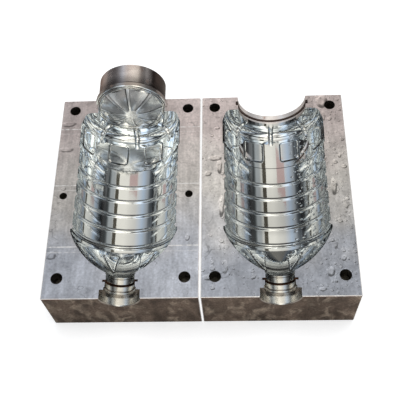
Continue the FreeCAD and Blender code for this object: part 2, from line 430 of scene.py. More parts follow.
def arc_centre(a: Point, b: Point, c: Point) -> Point:
    """The centre of the circle through three points.

    Args:
        a: The first point.
        b: The second point.
        c: The third point.

    Returns:
        The centre.
    """
    d = 2 * (a[0] * (b[1] - c[1]) + b[0] * (c[1] - a[1]) + c[0] * (a[1] - b[1]))
    sa, sb, sc = (p[0] ** 2 + p[1] ** 2 for p in (a, b, c))
    x = (sa * (b[1] - c[1]) + sb * (c[1] - a[1]) + sc * (a[1] - b[1])) / d
    y = (sa * (c[0] - b[0]) + sb * (a[0] - c[0]) + sc * (b[0] - a[0])) / d
    return x, y


def run(start: Point, end: Point, step: float) -> list[Point]:
    """Points along a straight run, about a step apart, without its first.

    Args:
        start: Where the run starts.
        end: Where it ends.
        step: About how far apart the points are.

    Returns:
        The points, the end among them.
    """
    length = math.hypot(end[0] - start[0], end[1] - start[1])
    count = max(1, round(length / step))
    return [
        (start[0] + (end[0] - start[0]) * k / count, start[1] + (end[1] - start[1]) * k / count)
        for k in range(1, count + 1)
    ]


def bore(mouth: Vector, direction: Vector, radius: float, depth: float, steps: int = 48) -> Thing:
    """A round cutter that stands as far out of its mouth as it goes in.

    Args:
        mouth: The centre of the hole's mouth.
        direction: The way into the metal.
        radius: The hole's radius in millimetres.
        depth: Its depth in millimetres.
        steps: The number of its sides.

    Returns:
        The cutter.
    """
    item = add_shape("cylinder", "bore", vertices=steps, radius=radius * MM, depth=2 * depth * MM,
                     end_fill_type="TRIFAN")
    item.rotation_mode = "QUATERNION"
    item.rotation_quaternion = (-direction).to_track_quat("Z", "Y")
    item.location = mouth
    settle(item)
    return item


# Materials


class Graph:
    """Adds nodes to a node tree and links them."""

    def __init__(self, tree: bpy.types.NodeTree) -> None:
        """Start with a tree.

        Args:
            tree: The node tree to fill.
        """
        self.tree = tree
        self.count = 0

    def feed(self, socket: Socket, value: object) -> None:
        """Link an input to another node's output, or give it a plain value.

        Args:
            socket: The input.
            value: An output or a value.
        """
        if isinstance(value, Socket):
            self.tree.links.new(value, socket)
        else:
            socket.default_value = value

    def add(self, kind: str, inputs: dict | None = None, **settings: object) -> bpy.types.Node:
        """Add a node.

        Args:
            kind: The node's type.
            inputs: Values or outputs for its inputs, by name or place.
            **settings: Its other settings.

        Returns:
            The new node.
        """
        node = self.tree.nodes.new(kind)
        row, column = divmod(self.count, NODES_PER_ROW)
        node.location = (NODE_STEP[0] * column, NODE_STEP[1] * row)
        self.count += 1
        for name, value in settings.items():
            setattr(node, name, value)
        for key, value in (inputs or {}).items():
            self.feed(node.inputs[key], value)
        return node

    def math(self, operation: str, a: object, b: object = 0.0) -> Socket:
        """A math node's result."""
        return self.add("ShaderNodeMath", {0: a, 1: b}, operation=operation).outputs[0]

    def times(self, *values: object) -> Socket:
        """The product of some values."""
        return reduce(lambda a, b: self.math("MULTIPLY", a, b), values)

    def plus(self, *values: object) -> Socket:
        """The sum of some values."""
        return reduce(lambda a, b: self.math("ADD", a, b), values)

    def most(self, *values: object) -> Socket:
        """The largest of some values."""
        return reduce(lambda a, b: self.math("MAXIMUM", a, b), values)

    def minus(self, a: object, b: object) -> Socket:
        """The first value less the second."""
        return self.math("SUBTRACT", a, b)

    def over(self, a: object, b: object) -> Socket:
        """The first value divided by the second."""
        return self.math("DIVIDE", a, b)

    def size(self, a: object) -> Socket:
        """A value without its sign."""
        return self.math("ABSOLUTE", a)

    def gap(self, a: object, b: object) -> Socket:
        """How far apart two values are."""
        return self.size(self.minus(a, b))

    def length(self, a: object, b: object) -> Socket:
        """The length of two distances at a right angle."""
        return self.math("POWER", self.plus(self.times(a, a), self.times(b, b)), 0.5)

    def span(self, value: object, low: object, high: object, start: float = 0.0, end: float = 1.0,
             soft: bool = True) -> Socket:
        """A value mapped from one range to another and held there.

        Args:
            value: The value.
            low: Where its range starts.
            high: Where its range ends.
            start: What it becomes at the start.
            end: What it becomes at the end.
            soft: Whether it rises softly at both ends.

        Returns:
            The mapped value.
        """
        kind = "SMOOTHSTEP" if soft else "LINEAR"
        inputs = {"Value": value, "From Min": low, "From Max": high, "To Min": start, "To Max": end}
        return self.add("ShaderNodeMapRange", inputs, interpolation_type=kind).outputs[0]

    def noise(self, vector: object, scale: object, detail: float = 3.0, rough: float = 0.55,
              distortion: float = 0.0) -> Socket:
        """A noise value on a vector."""
        inputs = {"Vector": vector, "Scale": scale, "Detail": detail, "Roughness": rough}
        return self.add("ShaderNodeTexNoise", {**inputs, "Distortion": distortion}).outputs[0]

    def blend(self, mask: object, a: object, b: object, kind: str = "MIX") -> Socket:
        """A mix of two colours by a mask.

        Args:
            mask: The share of the second colour.
            a: The first colour.
            b: The second colour.
            kind: How they mix.

        Returns:
            The mixed colour.
        """
        first, second = ((*c, 1.0) if isinstance(c, tuple) and len(c) == 3 else c for c in (a, b))
        settings = {"data_type": "RGBA", "blend_type": kind, "clamp_factor": True}
        return self.add("ShaderNodeMix", {0: mask, 6: first, 7: second}, **settings).outputs[2]

    def shade(self, colour: object, tone: object) -> Socket:
        """A colour made lighter or darker by a tone."""
        grey = self.add("ShaderNodeCombineColor", {0: tone, 1: tone, 2: tone}).outputs[0]
        return self.blend(1.0, colour, grey, "MULTIPLY")

    def ramp(self, place: object, stops: list[tuple[float, Color]]) -> Socket:
        """A run of colours.

        Args:
            place: Where to read it, from 0 to 1.
            stops: The place and the colour of each stop.

        Returns:
            The colour.
        """
        node = self.add("ShaderNodeValToRGB", {0: place})
        elements = node.color_ramp.elements
        while len(elements) < len(stops):
            elements.new(1.0)
        for element, (position, colour) in zip(elements, stops):
            element.position = position
            element.color = (*colour, 1.0)
        return node.outputs[0]

    def vector(self, operation: str, a: object, b: object = (0.0, 0.0, 0.0)) -> Socket:
        """A vector math node's result."""
        return self.add("ShaderNodeVectorMath", {0: a, 1: b}, operation=operation).outputs[0]

    def scaled(self, vector: object, factor: float) -> Socket:
        """A vector times a number."""
        return self.add("ShaderNodeVectorMath", {0: vector, 3: factor}, operation="SCALE").outputs[0]

    def stretch(self, vector: object, scale: Color, offset: Color = (0, 0, 0)) -> Socket:
        """A vector stretched and moved."""
        inputs = {"Vector": vector, "Scale": scale, "Location": offset}
        return self.add("ShaderNodeMapping", inputs).outputs[0]

    def warp(self, vector: object, scale: float, detail: float, reach: float) -> Socket:
        """A vector that a noise shifts.

        Args:
            vector: The vector in millimetres.
            scale: The noise's scale.
            detail: Its detail.
            reach: How far it shifts, in millimetres.

        Returns:
            The shifted vector.
        """
        inputs = {"Vector": vector, "Scale": scale, "Detail": detail}
        noise = self.add("ShaderNodeTexNoise", inputs).outputs[1]
        return self.vector("ADD", vector, self.scaled(self.vector("SUBTRACT", noise, (0.5, 0.5, 0.5)), reach))

    def millimetres(self) -> Socket:
        """The object's coordinates in millimetres."""
        return self.scaled(self.add("ShaderNodeTexCoord").outputs["Object"], 1000.0)

    def split(self, vector: object) -> tuple[Socket, ...]:
        """The x, y and z of a vector."""
        return tuple(self.add("ShaderNodeSeparateXYZ", {0: vector}).outputs)

    def around(self, place: object, axis: Axis, step: float,
               shift: float = 0.0) -> tuple[Socket, Socket]:
        """How a place lies in a pattern of lines about an axis.

        Args:
            place: The place in millimetres.
            axis: The axis.
            step: The angle from one line to the next, in degrees.
            shift: Where the first line is, in steps from straight down.

        Returns:
            The distance from the axis, and the distance across from the nearest line.
        """
        x, _, z = self.split(place)
        dx = self.minus(x, axis.x / MM)
        dz = self.minus(axis.top / MM, z)
        radius = self.length(dx, dz)
        turns = self.minus(self.over(self.math("ARCTAN2", dx, dz), math.radians(step)), shift)
        turns = self.minus(turns, self.math("ROUND", turns))
        return radius, self.times(radius, self.math("SINE", self.times(turns, math.radians(step))))

    def use(self, tree: bpy.types.NodeTree, vector: object, **inputs: object) -> Sockets:
        """The outputs of a shared group, placed on a vector with its own values."""
        return self.add("ShaderNodeGroup", {"Vector": vector, **inputs}, node_tree=tree).outputs

    def bump(self, height: object, strength: object, distance: float) -> Socket:
        """A normal from a height, with the distance in metres."""
        inputs = {"Height": height, "Strength": strength, "Distance": distance}
        return self.add("ShaderNodeBump", inputs).outputs[0]

    def surface(self, **inputs: object) -> None:
        """Finish a material with a Principled shader.

        Args:
            **inputs: Its inputs by name, with an underscore for each space.
        """
        named = {key.replace("_", " "): value for key, value in inputs.items()}
        shader = self.add("ShaderNodeBsdfPrincipled", named)
        self.add("ShaderNodeOutputMaterial", {"Surface": shader.outputs[0]})

    def shine(self, colour: object, strength: object = 1.0) -> None:
        """Finish a material that shines by itself."""
        glow = self.add("ShaderNodeEmission", {"Color": colour, "Strength": strength})
        self.add("ShaderNodeOutputMaterial", {"Surface": glow.outputs[0]})


def new_material(name: str) -> tuple[Material, Graph]:
    """Make an empty node material.

    Args:
        name: Its name.

    Returns:
        The material and its graph.
    """
    material = bpy.data.materials.new(name)
    material.use_nodes = True
    material.node_tree.nodes.clear()
    return material, Graph(material.node_tree)


class Effects:
    """The shared surface effects, each one a node group that is built once."""

    def __init__(self) -> None:
        """Build every group."""
        self.grain = self.build_grain()
        self.stain = self.build_stain()
        self.speck = self.build_speck()
        self.wave = self.build_wave()
        self.drops = self.build_drops()
        self.puddle = self.build_puddle()

    @staticmethod
    def shell(name: str, inputs: dict[str, float], outputs: list[str]) -> tuple[Graph, Sockets, Sockets]:
        """Make an empty group with a vector input, value inputs and value outputs.

        Args:
            name: The group's name.
            inputs: The value inputs with their defaults.
            outputs: The names of the outputs.

        Returns:
            The group's graph, the sockets that give its inputs and the ones that take its outputs.
        """
        tree = bpy.data.node_groups.new(name, "ShaderNodeTree")
        tree.interface.new_socket("Vector", in_out="INPUT", socket_type="NodeSocketVector")
        for label, value in inputs.items():
            socket = tree.interface.new_socket(label, in_out="INPUT", socket_type="NodeSocketFloat")
            socket.default_value = value
        for label in outputs:
            tree.interface.new_socket(label, in_out="OUTPUT", socket_type="NodeSocketFloat")
        g = Graph(tree)
        return g, g.add("NodeGroupInput").outputs, g.add("NodeGroupOutput").inputs

    def build_grain(self) -> bpy.types.NodeTree:
        """Fine grinding lines with a tone and a height.

        Returns:
            The node group.
        """
        g, value, result = self.shell("Grinding grain", {"Scale": 1.0, "Strength": 1.0}, ["Tone", "Height"])
        fine = g.noise(value["Vector"], value["Scale"], 4.0, 0.6)
        g.feed(result["Tone"], g.plus(g.times(g.minus(fine, 0.5), value["Strength"]), 1.0))
        g.feed(result["Height"], fine)
        return g.tree

    def build_stain(self) -> bpy.types.NodeTree:
        """Cloudy stains of oil, water and old rust.

        Returns:
            The node group.
        """
        inputs = {"Scale": 0.03, "Threshold": 0.5, "Softness": 0.15}
        g, value, result = self.shell("Cloudy stain", inputs, ["Mask"])
        cloud = g.noise(value["Vector"], value["Scale"], 5.0, 0.62, 0.6)
        low = g.minus(value["Threshold"], value["Softness"])
        high = g.plus(value["Threshold"], value["Softness"])
        g.feed(result["Mask"], g.span(cloud, low, high))
        return g.tree

    def build_speck(self) -> bpy.types.NodeTree:
        """Small separate specks and pits.

        Returns:
            The node group.
        """
        inputs = {"Scale": 0.2, "Size": 0.25, "Share": 0.4}
        g, value, result = self.shell("Specks", inputs, ["Mask"])
        cells = g.add("ShaderNodeTexVoronoi", {
            "Vector": value["Vector"], "Scale": value["Scale"], "Randomness": 1.0}).outputs
        dot = g.span(g.over(cells["Distance"], value["Size"]), 1.0, 0.5)
        chance = g.add("ShaderNodeSeparateColor", {0: cells["Color"]}).outputs[0]
        g.feed(result["Mask"], g.times(dot, g.math("LESS_THAN", chance, value["Share"])))
        return g.tree

    def build_wave(self) -> bpy.types.NodeTree:
        """The slight waviness that hand polishing leaves.

        Returns:
            The node group.
        """
        g, value, result = self.shell("Polishing waves", {"Scale": 0.06, "Fine": 0.35}, ["Height"])
        broad = g.noise(value["Vector"], value["Scale"], 1.0, 0.4)
        fine = g.noise(value["Vector"], value["Fine"], 1.0, 0.5)
        g.feed(result["Height"], g.plus(broad, g.times(fine, 0.16)))
        return g.tree

    def build_drops(self) -> bpy.types.NodeTree:
        """Water drops on a level face: painted shade along the near edge, a painted highlight along the far
        edge and a domed height.

        Returns:
            The node group.
        """
        inputs = {"Scale": 0.1, "Size": 0.3, "Share": 0.3, "Depth": 0.5}
        g, value, result = self.shell("Water drops", inputs, ["Tone", "Mask", "Height"])
        moved = g.warp(value["Vector"], 0.35, 1.0, 3.0)
        cells = g.add("ShaderNodeTexVoronoi", {
            "Vector": moved, "Scale": value["Scale"], "Randomness": 0.9}, voronoi_dimensions="2D").outputs
        chance, spread, _ = g.add("ShaderNodeSeparateColor", {0: cells["Color"]}).outputs
        chosen = g.math("LESS_THAN", chance, value["Share"])
        size = g.times(value["Size"], g.span(spread, 0, 1, 0.4, 1.0, soft=False))
        far = g.over(cells["Distance"], size)
        x, y, _ = g.split(g.vector("SUBTRACT", moved, cells["Position"]))
        lean = g.plus(g.times(y, -0.9), g.times(x, 0.42))
        lean = g.times(g.over(lean, size), value["Scale"])
        rim = g.times(g.span(far, 0.45, 0.85), g.span(far, 1.08, 0.92), chosen)
        mask = g.times(g.span(far, 1.05, 0.9), chosen)
        # Painted shade on the near edge of each drop and a painted highlight on its far edge
        dark = g.times(g.span(lean, 0.05, 0.8), value["Depth"])
        light = g.times(g.span(lean, -0.1, -0.8), value["Depth"], 0.4)
        g.feed(result["Tone"], g.plus(g.times(rim, g.minus(light, dark)), 1.0))
        g.feed(result["Mask"], mask)
        g.feed(result["Height"], g.times(mask, g.span(far, 1.0, 0.0)))
        return g.tree

    def build_puddle(self) -> bpy.types.NodeTree:
        """One puddle or large drop at a given place: painted shade along the near edge and a painted
        highlight along the far edge.

        Returns:
            The node group.
        """
        inputs = {"X": 0.0, "Y": 0.0, "Width": 5.0, "Length": 5.0, "Depth": 0.6}
        g, value, result = self.shell("Puddle", inputs, ["Tone", "Mask"])
        x, y, _ = g.split(value["Vector"])
        across = g.over(g.minus(x, value["X"]), value["Width"])
        along = g.over(g.minus(y, value["Y"]), value["Length"])
        away = g.length(across, along)
        rim = g.times(g.span(away, 0.4, 0.8), g.span(away, 1.2, 1.02))
        lean = g.plus(g.times(along, -0.85), g.times(across, 0.5))
        # Painted shade on the puddle's near edge and a painted highlight on its far edge
        dark = g.times(g.span(lean, -0.25, 0.45), value["Depth"])
        light = g.times(g.span(lean, -0.25, -0.75), value["Depth"], 0.5)
        g.feed(result["Tone"], g.plus(g.times(rim, g.minus(light, dark)), 1.0))
        g.feed(result["Mask"], g.span(away, 1.1, 0.95))
        return g.tree


# The finishes


@dataclass(frozen=True)
class Finish:
    """The looks of one kind of surface."""

    name: str
    effects: Effects

    def build(self) -> Material:
        """Build the material.

        Returns:
            The finished material.
        """
        material, g = new_material(self.name)
        self.paint(g, g.millimetres())
        return material

    def paint(self, g: Graph, place: Socket) -> None:
        """Fill the graph of the material.

        Args:
            g: The material's graph.
            place: The place in millimetres.
        """
        raise NotImplementedError


@dataclass(frozen=True)
class GroundSteel(Finish):
    """The satin ground finish of a parting face, with water on it."""

    # Painted reflection of the sky: the face's colours far, in the middle and near
    far: Color
    middle: Color
    near: Color
    front: float
    length: float
    drops: float = 0.0
    drip_share: float = 0.0
    seam_stations: tuple[float, ...] = ()
    seam_half: float = 4.3
    seam_tone: Color = (0.86, 0.85, 0.84)
    inner_tone: float = 1.22
    puddles: tuple[tuple[float, float, float, float], ...] = ()
    puddle_depth: float = 0.6
    seed: float = 0.0

    def tone(self, g: Graph, place: Socket) -> tuple[Socket, Socket]:
        """The light and dark of grain, brush marks, clouds, specks and dried water.

        Args:
            g: The material's graph.
            place: The place in millimetres.

        Returns:
            The tone and a height for the bump.
        """
        fx = self.effects
        grain = g.use(fx.grain, place, Scale=0.3, Strength=0.8)
        brush = g.use(fx.grain, g.stretch(place, (1.0, 0.06, 1.0)), Scale=0.2, Strength=0.5)
        broad = g.use(fx.grain, g.stretch(place, (1.0, 0.3, 1.0)), Scale=0.085, Strength=0.8)
        clouds = g.use(fx.stain, place, Scale=0.028, Threshold=0.5, Softness=0.2)["Mask"]
        moved = g.stretch(place, (1, 1, 1), (140, 60, 0))
        patches = g.use(fx.stain, moved, Scale=0.075, Threshold=0.6, Softness=0.07)["Mask"]
        specks = g.use(fx.speck, place, Scale=0.17, Size=0.17, Share=0.3)["Mask"]
        shade = g.times(grain["Tone"], brush["Tone"], broad["Tone"], g.span(clouds, 0, 1, 0.88, 1.08),
                        g.span(patches, 0, 1, 1.0, 0.86), g.span(specks, 0, 1, 1.0, 0.6),
                        self.tide_lines(g, place))
        return shade, g.plus(grain["Height"], g.times(specks, -0.8))

    def tide_lines(self, g: Graph, place: Socket) -> Socket:
        """The thin dark outlines that dried puddles leave.

        Args:
            g: The material's graph.
            place: The place in millimetres.

        Returns:
            The tone.
        """
        level = g.noise(g.stretch(place, (1.0, 1.5, 1.0), (self.seed, 0.0, 0.0)), 0.022, 2.0, 0.5, 0.5)
        line = g.span(g.gap(level, 0.56), 0.0085, 0.002)
        where = g.span(g.noise(place, 0.02, 1.0), 0.5, 0.58)
        return g.span(g.times(line, where), 0, 1, 1.0, 0.62, soft=False)

    def seams(self, g: Graph, y: Socket, place: Socket) -> Socket:
        """The light burred lines along the edges of the vents.

        Args:
            g: The material's graph.
            y: The place along the mould in millimetres.
            place: The place in millimetres.

        Returns:
            The share of the burr at each place.
        """
        worn = g.span(g.noise(place, 0.16, 2.0), 0.36, 0.6, 0.25, 1.0)
        edges = ((station, side) for station in self.seam_stations for side in ((1, 1.0), (-1, 0.45)))
        lines = []
        for station, (sign, strength) in edges:
            off = g.gap(y, self.front / MM + station + sign * self.seam_half)
            lines.append(g.times(g.span(off, 1.1, 0.35), strength))
        return g.times(g.most(*lines), worn)

    def water(self, g: Graph, place: Socket) -> list[Sockets]:
        """The drops and drips of a wet face, denser towards its outer side.

        Args:
            g: The material's graph.
            place: The place in millimetres.

        Returns:
            The outputs of each kind of drop.
        """
        fx = self.effects
        outer = g.span(g.split(place)[0], 90.0, 178.0, 0.3, 1.0)
        kinds = (
            (place, 0.15, 0.36, g.times(outer, self.drops), 0.85),
            (g.stretch(place, (1, 1, 1), (57, 23, 0)), 0.07, 0.32, self.drops * 0.5, 0.85),
            (g.stretch(place, (1.0, 0.42, 1.0), (11, 5, 0)), 0.045, 0.26, self.drip_share, 0.65))
        return [g.use(fx.drops, moved, Scale=scale, Size=size, Share=share, Depth=depth)
                for moved, scale, size, share, depth in kinds]

    def paint(self, g: Graph, place: Socket) -> None:
        """Fill the graph of the material.

        Args:
            g: The material's graph.
            place: The place in millimetres.
        """
        x, y, _ = g.split(place)
        # Painted reflection: the colour runs from near to far along the face, standing in for the sky in the
        # satin metal
        along = g.over(g.minus(y, self.front / MM), self.length / MM)
        along = g.plus(along, g.times(g.minus(g.noise(place, 0.012, 2.0), 0.5), 0.5))
        colour = g.blend(g.span(along, 0.12, 0.5), self.near, self.middle)
        colour = g.blend(g.span(along, 0.5, 0.92), colour, self.far)
        shade, height = self.tone(g, place)
        shade = g.times(shade, g.span(g.size(x), 12.0, 95.0, self.inner_tone, 1.0))
        wet = 0.0
        # Drops and puddles bring painted shade on their near edges and painted highlights on their far edges
        for drop in self.water(g, place) if self.drops else ():
            shade = g.times(shade, drop["Tone"])
            height = g.plus(height, g.times(drop["Height"], 3.0))
            wet = g.most(wet, drop["Mask"])
        moved = g.warp(place, 0.12, 2.0, 4.0)
        for middle_x, middle_y, width, reach in self.puddles:
            puddle = g.use(self.effects.puddle, moved, X=middle_x, Y=middle_y, Width=width, Length=reach,
                           Depth=self.puddle_depth)
            shade = g.times(shade, puddle["Tone"])
            wet = g.most(wet, puddle["Mask"])
        colour = g.shade(colour, shade)
        if self.seam_stations:
            colour = g.blend(g.times(self.seams(g, y, place), 0.9), colour, self.seam_tone)
        g.surface(Base_Color=colour, Roughness=g.minus(0.46, g.times(wet, 0.2)), Metallic=0.5,
                  Normal=g.bump(height, 0.3, 0.0003))


@dataclass(frozen=True)
class MirrorSteel(Finish):
    """The hand-polished mirror finish of the bottle's form."""

    tint: Color = (0.80, 0.83, 0.85)
    haze: Color = (0.70, 0.73, 0.74)
    roughness: float = 0.045
    wave: float = 0.05
    wall_wave: float = 0.05
    form: BottleForm | None = None
    petal_axis: Axis | None = None
    rib_half: float = 2.6
    drops: float = 0.0
    drops_from: float = 0.0
    # How much painted light brightens the base band
    band_painted_light: float = 1.0
    # How much painted shade darkens part of the cavity floor
    floor_painted_shade: float = 0.0
    metallic: float = 1.0

    def painted_shade_lines(self, g: Graph, place: Socket) -> tuple[Socket, ...]:
        """Painted shade lines behind each ring and around each raised form, and painted highlight lines
        beside them.

        Args:
            g: The material's graph.
            place: The place in millimetres.

        Returns:
            The share of the painted shade line, of the painted highlight line and of the wedges' tops at each
            place.
        """
        form = self.form
        station = g.minus(g.split(place)[1], form.axis.front / MM)
        offsets = [g.minus(station, middle) for middle in form.ring_centres()]
        root = form.ring_width / 2 + 0.9
        rings = [g.times(g.span(off, 0.3, 1.3), g.span(off, root, 2.6)) for off in offsets]
        step = g.span(g.gap(station, form.band + 1.0), 1.7, 0.7)
        across = g.size(g.around(place, form.axis, form.pattern_step, 0.5)[1])
        corner, half_length = form.panel_corner, form.panel_length / 2
        half_width = form.band_radius * math.sin(math.radians(form.panel_half_angle))
        qx = g.minus(across, half_width - corner)
        qy = g.minus(g.gap(station, form.heel - form.panel_from_heel - half_length), half_length - corner)
        outside = g.length(g.most(qx, 0.0), g.most(qy, 0.0))
        panel = g.minus(g.plus(outside, g.math("MINIMUM", g.most(qx, qy), 0.0)), corner)
        wide = form.collar - form.wedge_from_collar
        narrow = wide - form.wedge_length
        width = g.span(station, narrow, wide, form.wedge_tip, form.wedge_half_width, soft=False)
        wedge = g.most(g.minus(across, width), g.minus(station, wide), g.minus(narrow, station))
        rib = g.minus(g.size(g.around(place, form.axis, form.pattern_step)[1]), form.rib_half_width)
        on_heel = g.times(g.span(station, form.heel - 2.0, form.heel + 4.0),
                          g.span(station, form.flange, form.face))
        feet = (g.span(g.size(panel), 1.5, 0.6), g.span(g.size(wedge), 1.4, 0.5, 0.0, 0.65),
                g.times(g.span(g.size(rib), 1.5, 0.5, 0.0, 0.7), on_heel))
        # dull: painted shade at the ring roots, the band's step and the feet of panels, wedges and ribs;
        # bright: painted highlights
        dull = g.most(*rings, step, *feet)
        beside = [g.span(g.size(g.plus(distance, 2.3)), 1.3, 0.5) for distance in (panel, wedge)]
        bright = g.most(g.times(g.span(rib, -1.5, -3.0), on_heel), *beside)
        return dull, bright, g.span(wedge, 0.0, -2.0)

    def painted_form_light(self, g: Graph, place: Socket) -> Socket:
        """Painted light and shade over the cavity: walls darker towards the parting face, painted shade and
        highlight lines, a darker shoulder, a lighter base band and a darker floor.

        Args:
            g: The material's graph.
            place: The place in millimetres.

        Returns:
            The tone of painted light and shade.
        """
        form = self.form
        _, y, z = g.split(place)
        station = g.minus(y, form.axis.front / MM)
        dull, bright, tops = self.painted_shade_lines(g, place)
        # Painted shade: the walls darker towards the parting face
        wall = g.span(z, 30.0, 85.0, 1.0, 0.78)
        lines = g.plus(g.minus(1.0, g.times(dull, 0.76)), g.times(bright, 0.2))
        # Painted shade on the shoulder near the neck, lifted on the wedges' tops and the painted highlights
        low = g.span(station, form.shoulder + 22.0, form.shoulder + 52.0, 0.22, 1.0)
        low = g.most(low, g.times(tops, 0.45), bright)
        # Painted light on the base band and painted shade on part of the floor
        band = g.span(station, form.band - 1.0, form.band + 3.0, 1.0, self.band_painted_light)
        floor = g.times(g.span(station, 126.0, 140.0), g.span(station, 262.0, 172.0), g.span(z, 50.0, 26.0))
        return g.times(wall, low, lines, band, g.minus(1.0, g.times(floor, self.floor_painted_shade)))

    def painted_petal_light(self, g: Graph, place: Socket) -> Socket:
        """Painted highlights on the crests of the plug's ribs and painted shade along their feet.

        Args:
            g: The material's graph.
            place: The place in millimetres.

        Returns:
            The tone of painted light and shade.
        """
        radius, across = g.around(place, self.petal_axis, 45.0)
        half = g.span(radius, 10.0, 48.0, self.rib_half * 0.45, self.rib_half * 0.95, soft=False)
        off = g.over(across, half)
        # Painted highlight on each rib's crest, painted shade along its feet, and a lighter hub
        crest = g.span(g.size(off), 1.0, 0.5, 0.80, 1.05)
        foot = g.times(g.span(off, 0.7, 1.1), g.span(off, 2.0, 1.4))
        other = g.times(g.span(off, -0.7, -1.1), g.span(off, -1.7, -1.3), 0.6)
        foot = g.times(g.most(foot, other), g.span(radius, 10.0, 15.0))
        hub = g.span(radius, 13.0, 7.0, 1.0, 1.1)
        return g.times(crest, g.minus(1.0, g.times(foot, 0.85)), hub)

    def paint(self, g: Graph, place: Socket) -> None:
        """Fill the graph of the material.

        Args:
            g: The material's graph.
            place: The place in millimetres.
        """
        x, y, z = g.split(place)
        haze = g.use(self.effects.stain, place, Scale=0.05, Threshold=0.55, Softness=0.25)["Mask"]
        wave = g.use(self.effects.wave, place, Scale=0.055, Fine=0.3)["Height"]
        colour = g.blend(g.times(haze, 0.3), self.tint, self.haze)
        normal = g.bump(wave, g.span(z, 48.0, 72.0, self.wave, self.wall_wave), 0.0009)
        # Painted light and shade of the cavity, and of the petals
        if self.form:
            colour = g.shade(colour, self.painted_form_light(g, place))
        if self.petal_axis:
            colour = g.shade(colour, self.painted_petal_light(g, place))
        if self.drops:
            sheet = g.add("ShaderNodeCombineXYZ", {0: g.times(z, 1.2), 1: y}).outputs[0]
            share = g.times(g.span(x, self.drops_from, self.drops_from + 34.0), self.drops)
            beads = g.use(self.effects.drops, sheet, Scale=0.16, Size=0.36, Share=share)
            inputs = {"Height": beads["Height"], "Strength": 0.8, "Distance": 0.0006, "Normal": normal}
            normal = g.add("ShaderNodeBump", inputs).outputs[0]
            # The beads' painted shade and painted highlights
            colour = g.shade(colour, beads["Tone"])
        rough = g.span(haze, 0, 1, self.roughness, self.roughness * 2.2)
        g.surface(Base_Color=colour, Roughness=rough, Metallic=self.metallic, Normal=normal)


@dataclass(frozen=True)
class TurnedSteel(Finish):
    """A lathe-turned finish about the bottle axis, with a bronze-grey tarnish."""

    colour: Color
    tarnish: Color
    rust: Color
    rust_share: float
    roughness: float
    metallic: float = 0.9
    axis_x: float = 0.0
    radius: float = 53.0
    # Painted reflection streaks and painted shade across the body, rusty at its left edge
    bands: tuple[tuple[float, Color], ...] = ()
    # The station up to which painted shade darkens the body near the block
    painted_shade_until: float = 0.0
    # Painted shade lines in corners, at these places along the row
    lines: tuple[float, ...] = ()
    shade_line_half: float = 0.7
    shade_line_colour: Color = (0.10, 0.06, 0.045)

    def painted_banding(self, g: Graph, place: Socket) -> Socket:
        """Painted reflection streaks and painted shade in lengthwise bands across a turned body, rusty at its
        left edge, and painted shade close to the block.

        Args:
            g: The material's graph.
            place: The place in millimetres.

        Returns:
            The tone.
        """
        x, y, _ = g.split(place)
        across = g.span(x, self.axis_x - self.radius, self.axis_x + self.radius, soft=False)
        stops = [(offset / self.radius / 2 + 0.5, tone) for offset, tone in self.bands]
        # Painted shade on the body close to the block, behind the flange
        near = g.span(y, self.painted_shade_until - 19.0, self.painted_shade_until, 0.42, 1.0)
        return g.shade(g.ramp(across, stops), near)

    def paint(self, g: Graph, place: Socket) -> None:
        """Fill the graph of the material.

        Args:
            g: The material's graph.
            place: The place in millimetres.
        """
        fx = self.effects
        grain = g.use(fx.grain, g.stretch(place, (0.05, 2.0, 0.05)), Scale=0.9, Strength=0.4)
        cloud = g.use(fx.stain, place, Scale=0.03, Threshold=0.5, Softness=0.2)["Mask"]
        moved = g.stretch(place, (1, 1, 1), (31, 17, 5))
        rust = g.use(fx.stain, moved, Scale=0.07, Threshold=1.0 - self.rust_share, Softness=0.1)["Mask"]
        colour = g.shade(g.blend(cloud, self.colour, self.tarnish), grain["Tone"])
        colour = g.blend(rust, colour, self.rust)
        # Painted shade in the corners of steps and grooves
        for line in self.lines:
            on_line = g.span(g.gap(g.split(place)[1], line), self.shade_line_half * 1.6, self.shade_line_half * 0.7)
            colour = g.blend(on_line, colour, self.shade_line_colour)
        # Painted reflection streaks and painted shade across the body
        if self.bands:
            colour = g.blend(1.0, colour, self.painted_banding(g, place), "MULTIPLY")
        rough = g.plus(self.roughness, g.times(rust, 0.3))
        metal = g.minus(self.metallic, g.times(rust, 0.6))
        g.surface(Base_Color=colour, Roughness=rough, Metallic=metal,
                  Normal=g.bump(grain["Height"], 0.2, 0.0002))


